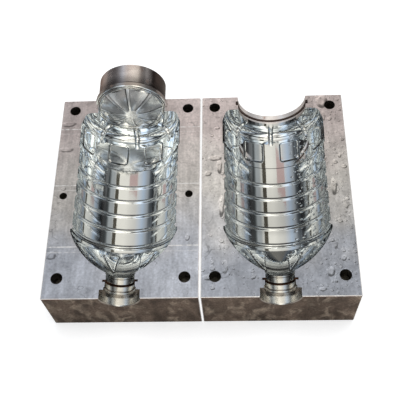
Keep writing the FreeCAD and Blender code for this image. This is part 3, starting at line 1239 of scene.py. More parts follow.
@dataclass(frozen=True)
class StainedSteel(Finish):
    """The brown-grey skin of the block's outer sides, mottled by oil and water."""

    colour: Color = (0.37, 0.285, 0.225)
    pale: Color = (0.68, 0.57, 0.45)
    dark: Color = (0.11, 0.08, 0.06)
    red: Color = (0.30, 0.10, 0.05)
    top: float = 96.0
    dim_x: float = -221.0

    def paint(self, g: Graph, place: Socket) -> None:
        """Fill the graph of the material.

        Args:
            g: The material's graph.
            place: The place in millimetres.
        """
        x, _, z = g.split(place)
        fx = self.effects
        streaks = g.stretch(place, (1.0, 1.0, 0.55))
        moved = g.stretch(streaks, (1, 1, 1), (90, 10, 40))
        broad = g.use(fx.stain, streaks, Scale=0.035, Threshold=0.5, Softness=0.2)["Mask"]
        pale = g.use(fx.stain, moved, Scale=0.05, Threshold=0.58, Softness=0.1)["Mask"]
        fine = g.use(fx.grain, place, Scale=0.33, Strength=2.1)
        colour = g.blend(broad, self.colour, self.dark)
        colour = g.blend(g.times(pale, 0.8), colour, self.pale)
        colour = g.shade(colour, g.span(x, self.dim_x, self.dim_x + 130.0, 0.72, 1.0))
        colour = g.shade(colour, fine["Tone"])
        near_top = g.span(z, self.top - 4.0, self.top - 1.5)
        red = g.times(near_top, g.span(g.noise(place, 0.03, 2.0), 0.45, 0.6), 0.8)
        g.surface(Base_Color=g.blend(red, colour, self.red), Roughness=g.span(broad, 0, 1, 0.5, 0.36),
                  Metallic=0.45, Normal=g.bump(fine["Height"], 0.3, 0.0003))


@dataclass(frozen=True)
class PlainMetal(Finish):
    """A small machined piece's finish: one tone, broken up by grain and smudges."""

    colour: Color
    smudge: Color
    roughness: float
    metallic: float = 1.0
    grain_scale: float = 1.2

    def paint(self, g: Graph, place: Socket) -> None:
        """Fill the graph of the material.

        Args:
            g: The material's graph.
            place: The place in millimetres.
        """
        grain = g.use(self.effects.grain, place, Scale=self.grain_scale, Strength=0.35)
        cloud = g.use(self.effects.stain, place, Scale=0.12, Threshold=0.52, Softness=0.15)["Mask"]
        colour = g.shade(g.blend(cloud, self.colour, self.smudge), grain["Tone"])
        rough = g.span(cloud, 0, 1, self.roughness, min(1.0, self.roughness * 1.4))
        g.surface(Base_Color=colour, Roughness=rough, Metallic=self.metallic,
                  Normal=g.bump(grain["Height"], 0.15, 0.0002))


# The bottle's form


@dataclass
class BottleForm:
    """The cavity of one half, as the closed body that is cut out of the block."""

    axis: Axis
    seat_radius: float = 28.6
    seat_length: float = 13.5
    step_radius: float = 22.8
    step_length: float = 4.0
    pilot_radius: float = 21.2
    pilot_length: float = 7.5
    slot_radius: float = 25.0
    slot_width: float = 3.4
    neck_radius: float = 20.2
    neck_length: float = 7.6
    lip_height: float = 0.9
    lip_length: float = 3.2
    shoulder_length: float = 65.8
    bulge_run: float = 24.0
    bulge_rise: float = 32.4
    collar_radius: float = 78.0
    collar_width: float = 11.0
    body_radius: float = 76.0
    body_length: float = 135.0
    ring_count: int = 5
    ring_width: float = 7.8
    ring_height: float = 2.4
    first_ring: float = 113.0
    second_ring: float = 141.2
    ring_pitch: float = 26.0
    band_step: float = 1.8
    band_radius: float = 78.0
    band_length: float = 54.0
    heel_step: float = 0.8
    heel_radius: float = 13.4
    pattern_step: float = 45.0
    panel_half_angle: float = 11.8
    panel_length: float = 37.0
    panel_corner: float = 5.0
    panel_height: float = 1.9
    panel_from_heel: float = 4.5
    wedge_length: float = 39.0
    wedge_half_width: float = 12.6
    wedge_tip: float = 1.6
    wedge_height: float = 1.8
    wedge_from_collar: float = 8.5
    rib_height: float = 3.0
    rib_half_width: float = 3.6
    rib_fade: float = 11.0
    rib_edge: float = 1.15
    plug_radius: float = 53.2
    flange_radius: float = 56.7
    seat_lip_length: float = 5.2
    flange_width: float = 7.6
    plug_recess: float = 4.6
    plug_tail: float = 3.5
    block_length: float = 340.0
    overshoot: float = 2.0
    mouth_chamfer: Point = (1.0, 1.2)
    pilot_chamfer: float = 0.6
    lip_run: float = 0.7
    panel_soft: float = 1.7
    wedge_soft: float = 1.5
    wedge_slope: float = 0.96
    foot: float = 0.4
    cap_rise: float = 4.0
    grid: float = 1.3
    wall_grid: float = 3.0
    strip: float = 0.3
    arc_share: float = 1.45
    arc_steps: int = 18
    steps: int = 184

    def __post_init__(self) -> None:
        """Work out the stations along the axis."""
        self.pilot = self.seat_length + self.step_length
        self.slot = self.pilot + self.pilot_length
        self.neck = self.slot + self.slot_width
        self.lip = self.neck + self.neck_length
        self.shoulder = self.lip + self.lip_length
        self.collar = self.shoulder + self.shoulder_length
        self.body = self.collar + self.collar_width
        self.band = self.body + self.body_length
        self.heel = self.band + self.band_length
        self.face = self.heel + self.heel_radius
        self.flange = self.face + self.seat_lip_length
        self.flange_end = self.flange + self.flange_width
        self.plug_face = self.face + self.plug_recess
        self.joint = self.flange_end + self.plug_tail

    def outline(self) -> list[Point]:
        """The outline of everything that is turned about the axis.

        Returns:
            Points of station and radius, from the axis back to the axis.
        """
        outside, small = self.overshoot, self.pilot_chamfer
        mouth_run, mouth = self.mouth_chamfer[0], self.seat_radius + self.mouth_chamfer[1]
        points: list[Point] = [(-outside, 0.0), (-outside, mouth), (0.0, mouth)]
        points += [(mouth_run, self.seat_radius), (self.seat_length, self.seat_radius)]
        points += [(self.seat_length, self.step_radius), (self.pilot - small, self.step_radius)]
        points += [(self.pilot, self.step_radius - small), (self.pilot, self.pilot_radius)]
        points += [(self.slot, self.pilot_radius), (self.slot, self.slot_radius)]
        points += [(self.neck, self.slot_radius), (self.neck, self.neck_radius)]
        start, bulge, top = self.dome()
        points += [(self.lip, self.neck_radius), (self.lip + self.lip_run, start[1]), start]
        points += arc(start, bulge, top, round(self.shoulder_length * self.arc_share / self.grid))
        centres = self.ring_centres()
        first = self.ring(centres[0])
        points += self.plain(points[-1], (first[0][0], self.collar_radius), self.wall_grid) + first[1:]
        for centre in centres[1:]:
            ring = self.ring(centre)
            points += self.plain(points[-1], ring[0]) + ring[1:]
        points += self.plain(points[-1], (self.band, self.body_radius))
        points += [(self.band + self.band_step, self.band_radius)]
        points += self.plain(points[-1], (self.heel, self.band_radius), self.grid, self.strip)
        annulus = self.heel_centre()[1]
        points += [(self.heel, annulus + self.heel_radius)]
        half = self.heel_radius * math.sqrt(0.5)
        points += arc(points[-1], (self.heel + half, annulus + half), (self.face, annulus), self.arc_steps)
        points += self.plain(points[-1], (self.face, self.plug_radius), self.grid, self.strip)
        points += self.plain(points[-1], (self.flange, self.plug_radius), self.wall_grid, self.strip)
        points += [(self.flange, self.flange_radius)]
        points += [(self.flange_end, self.flange_radius), (self.flange_end, self.plug_radius)]
        back, wide = self.block_length, self.plug_radius + mouth_run
        points += [(back - mouth_run, self.plug_radius), (back, wide), (back + outside, wide)]
        points += [(back + outside, 0.0)]
        return points

    def dome(self) -> tuple[Point, Point, Point]:
        """Three points of the shoulder's arc.

        Returns:
            Its start at the neck, its middle and its end at the collar.
        """
        start = (self.shoulder, self.neck_radius + self.lip_height)
        bulge = (self.shoulder + self.bulge_run, self.neck_radius + self.bulge_rise)
        return start, bulge, (self.collar, self.collar_radius)

    def heel_centre(self) -> Point:
        """The centre of the heel's arc."""
        return self.heel, self.band_radius - self.heel_step - self.heel_radius

    def ring_centres(self) -> list[float]:
        """The stations of the rings' crests."""
        others = range(self.ring_count - 1)
        return [self.first_ring] + [self.second_ring + k * self.ring_pitch for k in others]

    def ring(self, centre: float) -> list[Point]:
        """One raised ring with a round crest that runs out into soft roots.

        Args:
            centre: The station of its crest.

        Returns:
            Points of station and radius.
        """
        places_across = [2 * k / self.arc_steps - 1 for k in range(self.arc_steps + 1)]
        rises = [self.ring_height * (0.5 + 0.5 * math.cos(math.pi * t)) for t in places_across]
        return [(centre + self.ring_width / 2 * t, self.body_radius - rise)
                for t, rise in zip(places_across, rises)]

    @staticmethod
    def plain(start: Point, end: Point, step: float = 6.0, margin: float = 0.5) -> list[Point]:
        """A straight run with a narrow strip at both ends, which keeps its shading flat.

        Args:
            start: Where it starts.
            end: Where it ends.
            step: About how far apart its points are.
            margin: The width of the strips.

        Returns:
            The points, without the first.
        """
        length = math.hypot(end[0] - start[0], end[1] - start[1])
        share = min(margin / length, 0.3)
        near = (start[0] + (end[0] - start[0]) * share, start[1] + (end[1] - start[1]) * share)
        far = (end[0] - (end[0] - start[0]) * share, end[1] - (end[1] - start[1]) * share)
        return [near, *run(near, far, step), end]

    def raised(self, station: np.ndarray, radius: np.ndarray, angle: np.ndarray) -> np.ndarray:
        """How far the panels, wedges and heel ribs stand out of the wall.

        Args:
            station: The station of each point.
            radius: Its distance from the axis.
            angle: Its angle from straight down, in degrees.

        Returns:
            The height of each point, in millimetres.
        """
        across = np.abs(across_lines(radius, angle, self.pattern_step, 0.5))
        corner, half_length = self.panel_corner, self.panel_length / 2
        half_width = self.band_radius * math.sin(math.radians(self.panel_half_angle))
        qx = across - (half_width - corner)
        qy = np.abs(station - (self.heel - self.panel_from_heel - half_length)) - (half_length - corner)
        outside = np.hypot(np.maximum(qx, 0), np.maximum(qy, 0))
        edge = outside + np.minimum(np.maximum(qx, qy), 0) - corner
        lift = self.panel_height * smooth_step((self.foot - edge) / self.panel_soft)
        lift = np.where(station > self.band + 4, lift, 0.0)
        wide = self.collar - self.wedge_from_collar
        narrow = wide - self.wedge_length
        share = np.clip((station - narrow) / self.wedge_length, 0, 1)
        width = self.wedge_tip + (self.wedge_half_width - self.wedge_tip) * share
        edge = np.maximum.reduce([(across - width) * self.wedge_slope, narrow - station, station - wide])
        wedge = self.wedge_height * smooth_step((self.foot - edge) / self.wedge_soft)
        lift = np.where(station < self.collar, np.maximum(lift, wedge), lift)
        across = np.abs(across_lines(radius, angle, self.pattern_step))
        rib_start = self.heel - self.rib_fade
        fade = smooth_step((station - rib_start) / self.rib_fade)
        rib = self.rib_height * smooth_step(self.rib_edge - across / self.rib_half_width) * fade
        on_heel = (station > rib_start) & (station < self.face + 0.1)
        return np.where(on_heel & (radius > self.plug_radius - 0.1), np.maximum(lift, rib), lift)

    def inwards(self, station: np.ndarray, radius: np.ndarray) -> tuple[np.ndarray, np.ndarray]:
        """The direction along the axis and across it in which the wall's raised forms stand.

        Args:
            station: The station of each point.
            radius: Its distance from the axis.

        Returns:
            The share along the axis and the share away from it.
        """
        dome_along, dome_away = towards(arc_centre(*self.dome()), station, radius)
        heel_along, heel_away = towards(self.heel_centre(), station, radius)
        outer = radius > self.heel_centre()[1]
        flat, heel = (station > self.face - 0.05) & ~outer, (station > self.heel) & outer
        kinds = [flat, heel, station < self.collar - 0.01]
        along = np.select(kinds, [-1.0, heel_along, dome_along], 0.0)
        return along, np.select(kinds, [0.0, heel_away, dome_away], -1.0)

    def build(self, materials: list[Material]) -> Thing:
        """Turn the outline half round, raise the pattern out of it and close it above the parting face.

        Args:
            materials: The materials of the half, in the order of its zones.

        Returns:
            The closed cutter, with its faces in their zones.
        """
        item = trace("bottle_form", self.axis, self.outline())
        open_edit(item)
        bpy.ops.transform.rotate(value=math.pi / 2, orient_axis="Y", orient_type="GLOBAL",
                                 center_override=self.axis.centre())
        close_edit()
        side = places(item)
        turn_back = 1.0 if side[:, 0].max() - self.axis.x > 0.01 else -1.0
        open_edit(item)
        bpy.ops.mesh.spin(steps=self.steps, angle=turn_back * math.pi, center=self.axis.centre(),
                          axis=(0, 1, 0))
        bpy.ops.mesh.remove_doubles(threshold=1e-6)
        close_edit()
        if places(item)[:, 2].min() > self.axis.top - 0.01:
            points = places(item)
            points[:, 2] = 2 * self.axis.top - points[:, 2]
            move_to(item, points)
        self.raise_pattern(item)
        self.close_top(item)
        coat(item, materials, self.zones(item))
        return item

    def raise_pattern(self, item: Thing) -> None:
        """Move the wall's vertices inwards where a panel, wedge or rib stands.

        Args:
            item: The half-turned form.
        """
        points = places(item)
        station, radius, angle = self.axis.polar(points)
        along, away = self.inwards(station, radius)
        lift = np.where(radius > 1.0, self.raised(station, radius, angle), 0.0)
        turned = np.radians(angle)
        points[:, 0] += np.sin(turned) * lift * away * MM
        points[:, 1] += lift * along * MM
        points[:, 2] -= np.cos(turned) * lift * away * MM
        move_to(item, points)

    def close_top(self, item: Thing) -> None:
        """Extend the open rim past the parting face and cap it.

        Args:
            item: The half-turned form.
        """
        open_edit(item, "EDGE", everything=False)
        bpy.ops.mesh.select_non_manifold(extend=False, use_wire=False, use_boundary=True,
                                         use_multi_face=False, use_non_contiguous=False, use_verts=False)
        bpy.ops.mesh.extrude_region_move(TRANSFORM_OT_translate={"value": (0, 0, self.cap_rise * MM)})
        bpy.ops.mesh.edge_face_add()
        bpy.ops.mesh.select_all(action="SELECT")
        bpy.ops.mesh.normals_make_consistent(inside=False)
        close_edit()

    def zones(self, item: Thing) -> np.ndarray:
        """The zone that each face of the form cuts.

        Args:
            item: The closed form.

        Returns:
            One zone per face.
        """
        station = self.axis.polar(face_centres(item))[0]
        in_slot = (station > self.slot - 0.05) & (station < self.neck + 0.05)
        kinds = [station > self.flange - 0.05, in_slot, station < self.shoulder - 0.05]
        return np.select(kinds, [Zone.SEAT, Zone.SLOT, Zone.NECK], Zone.CAVITY)


# The two halves


@dataclass
class MouldHalf:
    """One half block with its cavity, holes, channels and vents."""

    side: Side
    node: str
    axis: Axis
    materials: list[Material]
    low: Vector
    high: Vector
    chamfer: float = 1.0
    guide_radius: float = 8.5
    guide_depth: float = 22.5
    guide_spacing: float = 180.0
    guide_stations: tuple[float, float] = (31.0, 320.0)
    small_radius: float = 5.8
    small_depth: float = 15.0
    small_spacing: float = 188.0
    small_station: float = 164.0
    vent_depth: float = 0.3
    vent_width: float = 8.6
    vent_tool: float = 4.0
    vent_stations: tuple[float, ...] = (75.5, 177.8, 280.2)
    channel_radius: float = 5.9
    channel_spacing: float = 190.0
    channel_drop: float = 60.0
    channel_depth: float = 30.0
    cross_station: float = 18.0
    cross_depth: float = 20.0
    platen_radius: float = 5.1
    platen_depth: float = 11.0
    platen_spacing: Point = (140.0, 220.0)
    lifting_depth: float = 12.0
    lifting_drop: float = 48.0
    crisp_angle: float = 32.0

    def block(self) -> Thing:
        """The chamfered block, with its faces in their zones.

        Returns:
            The block.
        """
        name = self.side.name.lower() + "_mould"
        item = add_shape("cube", name, self.high - self.low, size=1.0, location=(self.low + self.high) / 2)
        open_edit(item, "EDGE")
        bpy.ops.mesh.bevel(offset=self.chamfer * MM, segments=1, affect="EDGES")
        close_edit()
        coat(item, self.materials, [self.zone_of(face.normal) for face in item.data.polygons])
        return item

    def zone_of(self, normal: Vector) -> Zone:
        """The zone of a face of the plain block.

        Args:
            normal: The way that the face looks.

        Returns:
            Its zone.
        """
        square = 0.95
        if max(abs(v) for v in normal) < square:
            return Zone.EDGE
        if normal.z > square:
            return Zone.PARTING
        return Zone.INNER if normal.x * self.side.value < -square else Zone.FLANK

    def holes(self) -> Thing:
        """Every hole, channel and tapped hole of this half as one cutter.

        Returns:
            The joined cutter.
        """
        down, back, inwards = Vector((0, 0, -1)), Vector((0, -1, 0)), Vector((-self.side.value, 0, 0))
        width, length, height = (self.high - self.low) / MM
        outer, middle, drop = self.side.value * width / 2, length / 2, self.channel_drop
        holes = []
        for sign in (-1, 1):
            for station in self.guide_stations:
                place = (sign * self.guide_spacing / 2, station, 0.0)
                holes.append((place, down, self.guide_radius, self.guide_depth))
            if self.side is Side.LEFT:
                place = (sign * self.small_spacing / 2, self.small_station, 0.0)
                holes.append((place, down, self.small_radius, self.small_depth))
            place = (sign * self.channel_spacing / 2, length, drop)
            holes.append((place, back, self.channel_radius, self.channel_depth))
            for along in (-1, 1):
                across_by, along_by = self.platen_spacing
                place = (sign * across_by / 2, middle + along * along_by / 2, height)
                holes.append((place, -down, self.platen_radius, self.platen_depth))
        holes.append(((outer, self.cross_station, drop), inwards, self.channel_radius, self.cross_depth))
        holes.append(((outer, middle, self.lifting_drop), inwards, self.platen_radius, self.lifting_depth))
        cutters = [bore(self.axis.mouth(*place), way, radius, depth) for place, way, radius, depth in holes]
        item = join(cutters, "hole_cutter")
        coat(item, self.materials, Zone.HOLE)
        return item

    def vents(self) -> Thing:
        """The shallow vent bands across the parting face as one cutter.

        Returns:
            The joined cutter.
        """
        thick = self.vent_tool * MM
        size = (self.high.x - self.low.x + thick, self.vent_width * MM, thick)
        lift = Vector((0, 0, thick / 2 - self.vent_depth * MM))
        bands = [add_shape("cube", "vent", size, size=1.0, location=self.axis.mouth(0, station) + lift)
                 for station in self.vent_stations]
        item = join(bands, "vent_cutter")
        coat(item, self.materials, Zone.VENT)
        return item

    def build(self) -> Thing:
        """Build and dress the half.

        Returns:
            The finished piece.
        """
        item = self.block()
        cut(item, BottleForm(self.axis).build(self.materials))
        cut(item, self.holes())
        if self.side is Side.LEFT:
            cut(item, self.vents())
        soften(item, self.crisp_angle)
        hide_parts(self.node)
        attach(item, "root")
        log.info("%s: %d faces", item.name, len(item.data.polygons))
        return item


# The base plug


@dataclass
class BasePlug:
    """The base plug: the petal face with its flange, and the turned body behind it."""

    axis: Axis
    form: BottleForm
    face_materials: list[Material]
    body_materials: list[Material]
    dome_radius: float = 49.5
    dome_height: float = 14.0
    dome_middle: float = 10.6
    hub_radius: float = 12.0
    scoop_inner: float = 0.9
    scoop_outer: float = 4.2
    rib_half: float = 2.6
    rim_radius: float = 53.0
    line_radii: Point = (50.3, 51.5)
    line_depth: float = 1.1
    flange_radius: float = 56.5
    end_station: float = 368.6
    groove_depth: float = 1.6
    screw_circle: float = 43.0
    head_radius: float = 7.0
    head_depth: float = 4.5
    port_offset: float = 20.0
    port_radius: float = 5.9
    port_depth: float = 14.0
    rod_radius: float = 7.0
    rod_depth: float = 10.0
    play: float = 0.2
    tail_recess: float = 0.3
    land_height: float = 1.0
    land_chamfers: Point = (0.8, 0.5)
    end_chamfer: float = 1.2
    face_angle: float = 30.0
    body_angle: float = 32.0
    dome_steps: int = 60
    body_steps: int = 192
    steps: int = 320

    def face(self) -> Thing:
        """The domed front with its petals, rim and flange.

        Returns:
            The finished piece.
        """
        face, rim, land = self.form.plug_face, self.rim_radius, self.flange_radius
        flange, flange_end = self.form.flange + self.play, self.form.flange_end - self.play
        joint = self.joint()
        start, middle = (face - self.dome_height, 0.0), (face - self.dome_middle, self.dome_radius / 2)
        outline = [start] + arc(start, middle, (face, self.dome_radius), self.dome_steps)
        inner, outer = self.line_radii
        deep, wall = self.line_depth, 0.1
        outline += [(face, inner), (face + deep, inner + wall), (face + deep, outer - wall), (face, outer)]
        outline += [(face, rim - 0.4), (face + 0.3, rim), (flange + deep, rim)]
        step, (front, back) = rim + self.land_height, self.land_chamfers
        outline += [(flange + deep, step - wall), (flange, step), (flange, land - front)]
        outline += [(flange + front, land), (flange_end - back, land), (flange_end, land - back)]
        groove, tail, recess = rim - self.groove_depth, rim - self.tail_recess, joint - self.tail_recess
        outline += [(flange_end, groove), (recess, groove), (recess, tail), (joint, tail), (joint, 0.0)]
        item = turn("plug_face", self.axis, outline, self.steps)
        self.scoop(item)
        station, radius, _ = self.axis.polar(face_centres(item))
        in_line = (station > face + deep * 0.4) & (radius > inner) & (radius < step - wall / 2)
        on_rim = (radius > self.dome_radius + 0.2) | (station > face + 0.6)
        # Zone 2 takes the painted shadow of the joint and of the fine grooves
        kinds = [station > flange_end - wall, radius > land - 0.2, in_line, on_rim]
        coat(item, self.face_materials, np.select(kinds, [2, 3, 2, 1], 0))
        soften(item, self.face_angle)
        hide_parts("base_insert")
        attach(item, "root")
        log.info("%s: %d faces", item.name, len(item.data.polygons))
        return item

    def scoop(self, item: Thing) -> None:
        """Sink the eight petals between the ribs of the dome.

        Args:
            item: The turned front.
        """
        points = places(item)
        station, radius, angle = self.axis.polar(points)
        across = across_lines(radius, angle, self.form.pattern_step, 0.5)
        half = math.radians(self.form.pattern_step / 2)
        share = np.clip((radius - self.hub_radius) / (self.dome_radius - self.hub_radius), 0, 1)
        inner = self.hub_radius * math.sin(half) - self.rib_half / 2
        outer = self.dome_radius * math.sin(half) - self.rib_half
        width = inner + (outer - inner) * share
        depth = self.scoop_inner + (self.scoop_outer - self.scoop_inner) * share
        bowl = np.clip(1 - (across / width) ** 2, 0, None)
        bowl = bowl * bowl / (bowl + 0.10)
        start = smooth_step((radius - self.hub_radius + 3) / 6)
        stop = smooth_step((self.dome_radius - radius) / 2.5)
        on_face = station < self.form.plug_face + 0.05
        points[:, 1] += np.where(on_face, depth * bowl * start * stop, 0.0) * MM
        move_to(item, points)

    def joint(self) -> float:
        """The station where the front and the body meet."""
        return self.form.joint - self.play

    def body(self) -> Thing:
        """The turned body that stands out behind the block.

        Returns:
            The finished piece.
        """
        front, end, rim = self.joint(), self.end_station, self.rim_radius
        outline = [(front, 0.0), (front, rim - self.tail_recess), (front + self.tail_recess, rim)]
        outline += [(end - self.end_chamfer, rim), (end, rim - self.end_chamfer), (end, 0.0)]
        item = turn("plug_body", self.axis, outline, self.body_steps)
        coat(item, self.body_materials, 0)
        port, screw = self.port_offset, self.screw_circle
        holes = [(0, 0, self.rod_radius, self.rod_depth)]
        holes += [(x, 0, self.port_radius, self.port_depth) for x in (-port, port)]
        holes += [(x, level, self.head_radius, self.head_depth)
                  for x, level in ((0, screw), (screw, 0), (0, -screw), (-screw, 0))]
        rear = Vector((0, -1, 0))
        cutters = [bore(self.axis.mouth(x, end, level), rear, radius, depth)
                   for x, level, radius, depth in holes]
        tool = join(cutters, "port_cutter")
        coat(tool, self.body_materials, 1)
        cut(item, tool)
        soften(item, self.body_angle)
        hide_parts("base_body")
        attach(item, "root")
        log.info("%s: %d faces", item.name, len(item.data.polygons))
        return item


# The studio


@dataclass
class Studio:
    """The floor, the lamps, the reflection cards and the camera."""

    centre: Vector
    focal_pixels: float = 721.3
    elevation: float = 60.59
    roll: float = -6.29
    azimuth: float = -6.0
    station: Color = (0.0538, -0.5493, 1.0200)
    sky_radius: float = 3.4
    clutter_scale: float = 1.0
    clutter_dark: float = 0.4
    gap_width: float = 0.0022
    gap_length: float = 0.337
    gap_height: float = 0.0925
    gap_middle: float = -0.0143
    photo_pixels: float = 400.0
    sensor: float = 36.0
    floor_radius: float = 9.0
    floor_drop: float = 0.0003
    sky_bands: tuple[tuple[float, Color], ...] = (
        (-80, (0.04, 0.04, 0.04)),
        (-60, (0.05, 0.05, 0.055)),
        (-54, (0.12, 0.135, 0.145)),
        (-43, (0.34, 0.36, 0.38)),
        (-33, (0.46, 0.54, 0.64)),
        (-24, (0.60, 0.62, 0.64)),
        (-17, (0.68, 0.655, 0.60)),
        (-6, (0.77, 0.735, 0.66)),
        (6, (0.91, 0.865, 0.77)),
        (26, (0.92, 0.875, 0.77)),
        (36, (0.40, 0.41, 0.40)),
        (44, (0.37, 0.39, 0.39)),
        (49, (0.12, 0.13, 0.13)),
        (58, (0.13, 0.13, 0.13)),
        (63, (0.04, 0.04, 0.04)),
    )

    def camera(self) -> None:
        """Place the camera where the photograph was taken from."""
        el, az, roll = (math.radians(v) for v in (self.elevation, self.azimuth, self.roll))
        ahead = Vector((math.sin(az) * math.cos(el), math.cos(az) * math.cos(el), -math.sin(el)))
        right = Vector((math.cos(az), -math.sin(az), 0))
        above = right.cross(ahead)
        x_axis = right * math.cos(roll) + above * math.sin(roll)
        y_axis = above * math.cos(roll) - right * math.sin(roll)
        turned = Matrix((x_axis, y_axis, -ahead)).transposed()
        data = bpy.data.cameras.new("viewpoint")
        data.sensor_width = self.sensor
        data.lens = self.focal_pixels / self.photo_pixels * self.sensor
        data.clip_start, data.clip_end = 0.01, 50.0
        item = bpy.data.objects.new("viewpoint", data)
        bpy.context.scene.collection.objects.link(item)
        item.matrix_world = Matrix.Translation(self.station) @ turned.to_4x4()
        bpy.context.scene.camera = item

    def floor(self) -> None:
        """A plain white floor that keeps the object's shadow."""
        item = add_shape("circle", "studio_floor", vertices=64, radius=self.floor_radius, fill_type="NGON",
                         location=(0, 0, -self.floor_drop))
        material, g = new_material("studio floor")
        matte = g.add("ShaderNodeBsdfDiffuse", {"Color": (0.72, 0.72, 0.72, 1)})
        glow = g.add("ShaderNodeEmission", {"Color": (1, 1, 1, 1), "Strength": 0.55})
        dull = g.add("ShaderNodeBsdfDiffuse", {"Color": (0.34, 0.30, 0.27, 1)})
        lit = g.add("ShaderNodeAddShader", {0: matte.outputs[0], 1: glow.outputs[0]})
        seen = g.add("ShaderNodeLightPath").outputs["Is Camera Ray"]
        mixed = g.add("ShaderNodeMixShader", {0: seen, 1: dull.outputs[0], 2: lit.outputs[0]})
        g.add("ShaderNodeOutputMaterial", {"Surface": mixed.outputs[0]})
        item.data.materials.append(material)

    def world(self) -> None:
        """White where the camera, metal and glass look, and a soft grey as light."""
        world = bpy.data.worlds.new("studio")
        bpy.context.scene.world = world
        world.use_nodes = True
        world.node_tree.nodes.clear()
        g = Graph(world.node_tree)
        path = g.add("ShaderNodeLightPath").outputs
        seen = g.most(*(path[f"Is {kind} Ray"] for kind in ("Camera", "Glossy", "Transmission")))
        soft = g.add("ShaderNodeBackground", {"Color": (0.93, 0.96, 1.0, 1), "Strength": 0.55})
        white = g.add("ShaderNodeBackground", {"Color": (1, 1, 1, 1), "Strength": 1.0})
        mixed = g.add("ShaderNodeMixShader", {0: seen, 1: soft.outputs[0], 2: white.outputs[0]})
        g.add("ShaderNodeOutputWorld", {"Surface": mixed.outputs[0]})

    def lamp(self, name: str, place: Color, size: float, power: float, colour: Color) -> None:
        """A soft square lamp that faces the object.

        Args:
            name: The lamp's name.
            place: Where it hangs.
            size: The length of its side.
            power: Its power in watts.
            colour: Its colour.
        """
        data = bpy.data.lights.new(name, "AREA")
        data.size, data.energy, data.color = size, power, colour
        item = bpy.data.objects.new(name, data)
        bpy.context.scene.collection.objects.link(item)
        away = Vector(place) - self.centre
        item.matrix_world = Matrix.Translation(place) @ away.to_track_quat("Z", "Y").to_matrix().to_4x4()
        item.visible_glossy = False

    def sky(self) -> None:
        """A dome that only reflections see: an overcast yard with a bright sky and dark walls round it."""
        item = add_shape("uv_sphere", "sky_dome", segments=48, ring_count=24, radius=self.sky_radius,
                         location=self.centre)
        material, g = new_material("overcast yard")
        moved = g.vector("SUBTRACT", g.add("ShaderNodeTexCoord").outputs["Object"], self.centre)
        x, y, z = g.split(g.vector("NORMALIZE", moved))
        tilt = g.math("ARCTAN2", x, z)
        place = g.span(tilt, -math.pi / 2, math.pi / 2, soft=False)
        colour = g.ramp(place, [(angle / 180 + 0.5, tone) for angle, tone in self.sky_bands])
        overhead = g.span(y, 0.42, 0.1, 1.0, 1.45)
        far_wall = g.span(y, 0.68, 0.82, 1.0, 0.2)
        onlooker = g.most(g.span(y, -0.24, -0.1, 0.35, 1.0), g.span(y, -0.34, -0.44, 0.0, 1.15))
        shapes = g.span(g.noise(moved, self.clutter_scale, 2.0, 0.6), 0.41, 0.53, self.clutter_dark, 1.3)
        aside = g.most(g.span(y, 0.12, -0.08), g.span(g.size(tilt), 0.75, 0.9))
        clutter = g.plus(g.times(aside, g.minus(shapes, 1.0)), 1.0)
        g.shine(colour, g.times(overhead, far_wall, onlooker, clutter))
        item.data.materials.append(material)
        self.only_reflected(item)

    def card(self, name: str, centre: Color, size: Point, colour: Color) -> None:
        """A flat card over the object, seen only in reflections.

        Args:
            name: The card's name.
            centre: Where it hangs.
            size: Its width along X and its length along Y.
            colour: Its colour.
        """
        item = add_shape("plane", name, (*size, 1.0), size=1.0, location=centre)
        material, g = new_material(name)
        g.shine((*colour, 1.0))
        item.data.materials.append(material)
        self.only_reflected(item)

    def gap_card(self) -> None:
        """A white card that stands between the halves, so that the gap shows the backdrop's white."""
        size = (self.gap_width, self.gap_length, self.gap_height)
        middle = (0, self.gap_middle, MM + self.gap_height / 2)
        item = add_shape("cube", "gap_card", size, size=1.0, location=middle)
        material, g = new_material("gap card")
        g.shine((1.0, 1.0, 1.0, 1.0))
        item.data.materials.append(material)
        item.visible_diffuse = False

    @staticmethod
    def only_reflected(item: Thing) -> None:
        """Hide a stage piece from everything but reflections.

        Args:
            item: The stage piece.
        """
        item.visible_camera = False
        item.visible_diffuse = False
        item.visible_shadow = False

    def build(self) -> None:
        """Set the studio up."""
        self.camera()
        self.floor()
        self.world()
        self.lamp("sky_lamp", (0.3, 0.6, 3.0), 2.2, 52.0, (1.0, 0.99, 0.97))
        self.sky()
        self.gap_card()
        self.card("overhead_beam", (0.65, 0.76, 1.34), (0.24, 0.84), (0.09, 0.08, 0.06))
        self.card("overhead_awning", (-0.27, 0.88, 1.34), (0.44, 0.2), (0.55, 0.40, 0.37))
        bpy.context.scene.view_settings.view_transform = "Standard"
        log.info("studio: camera, floor, world, lamp and cards")


# Putting it together


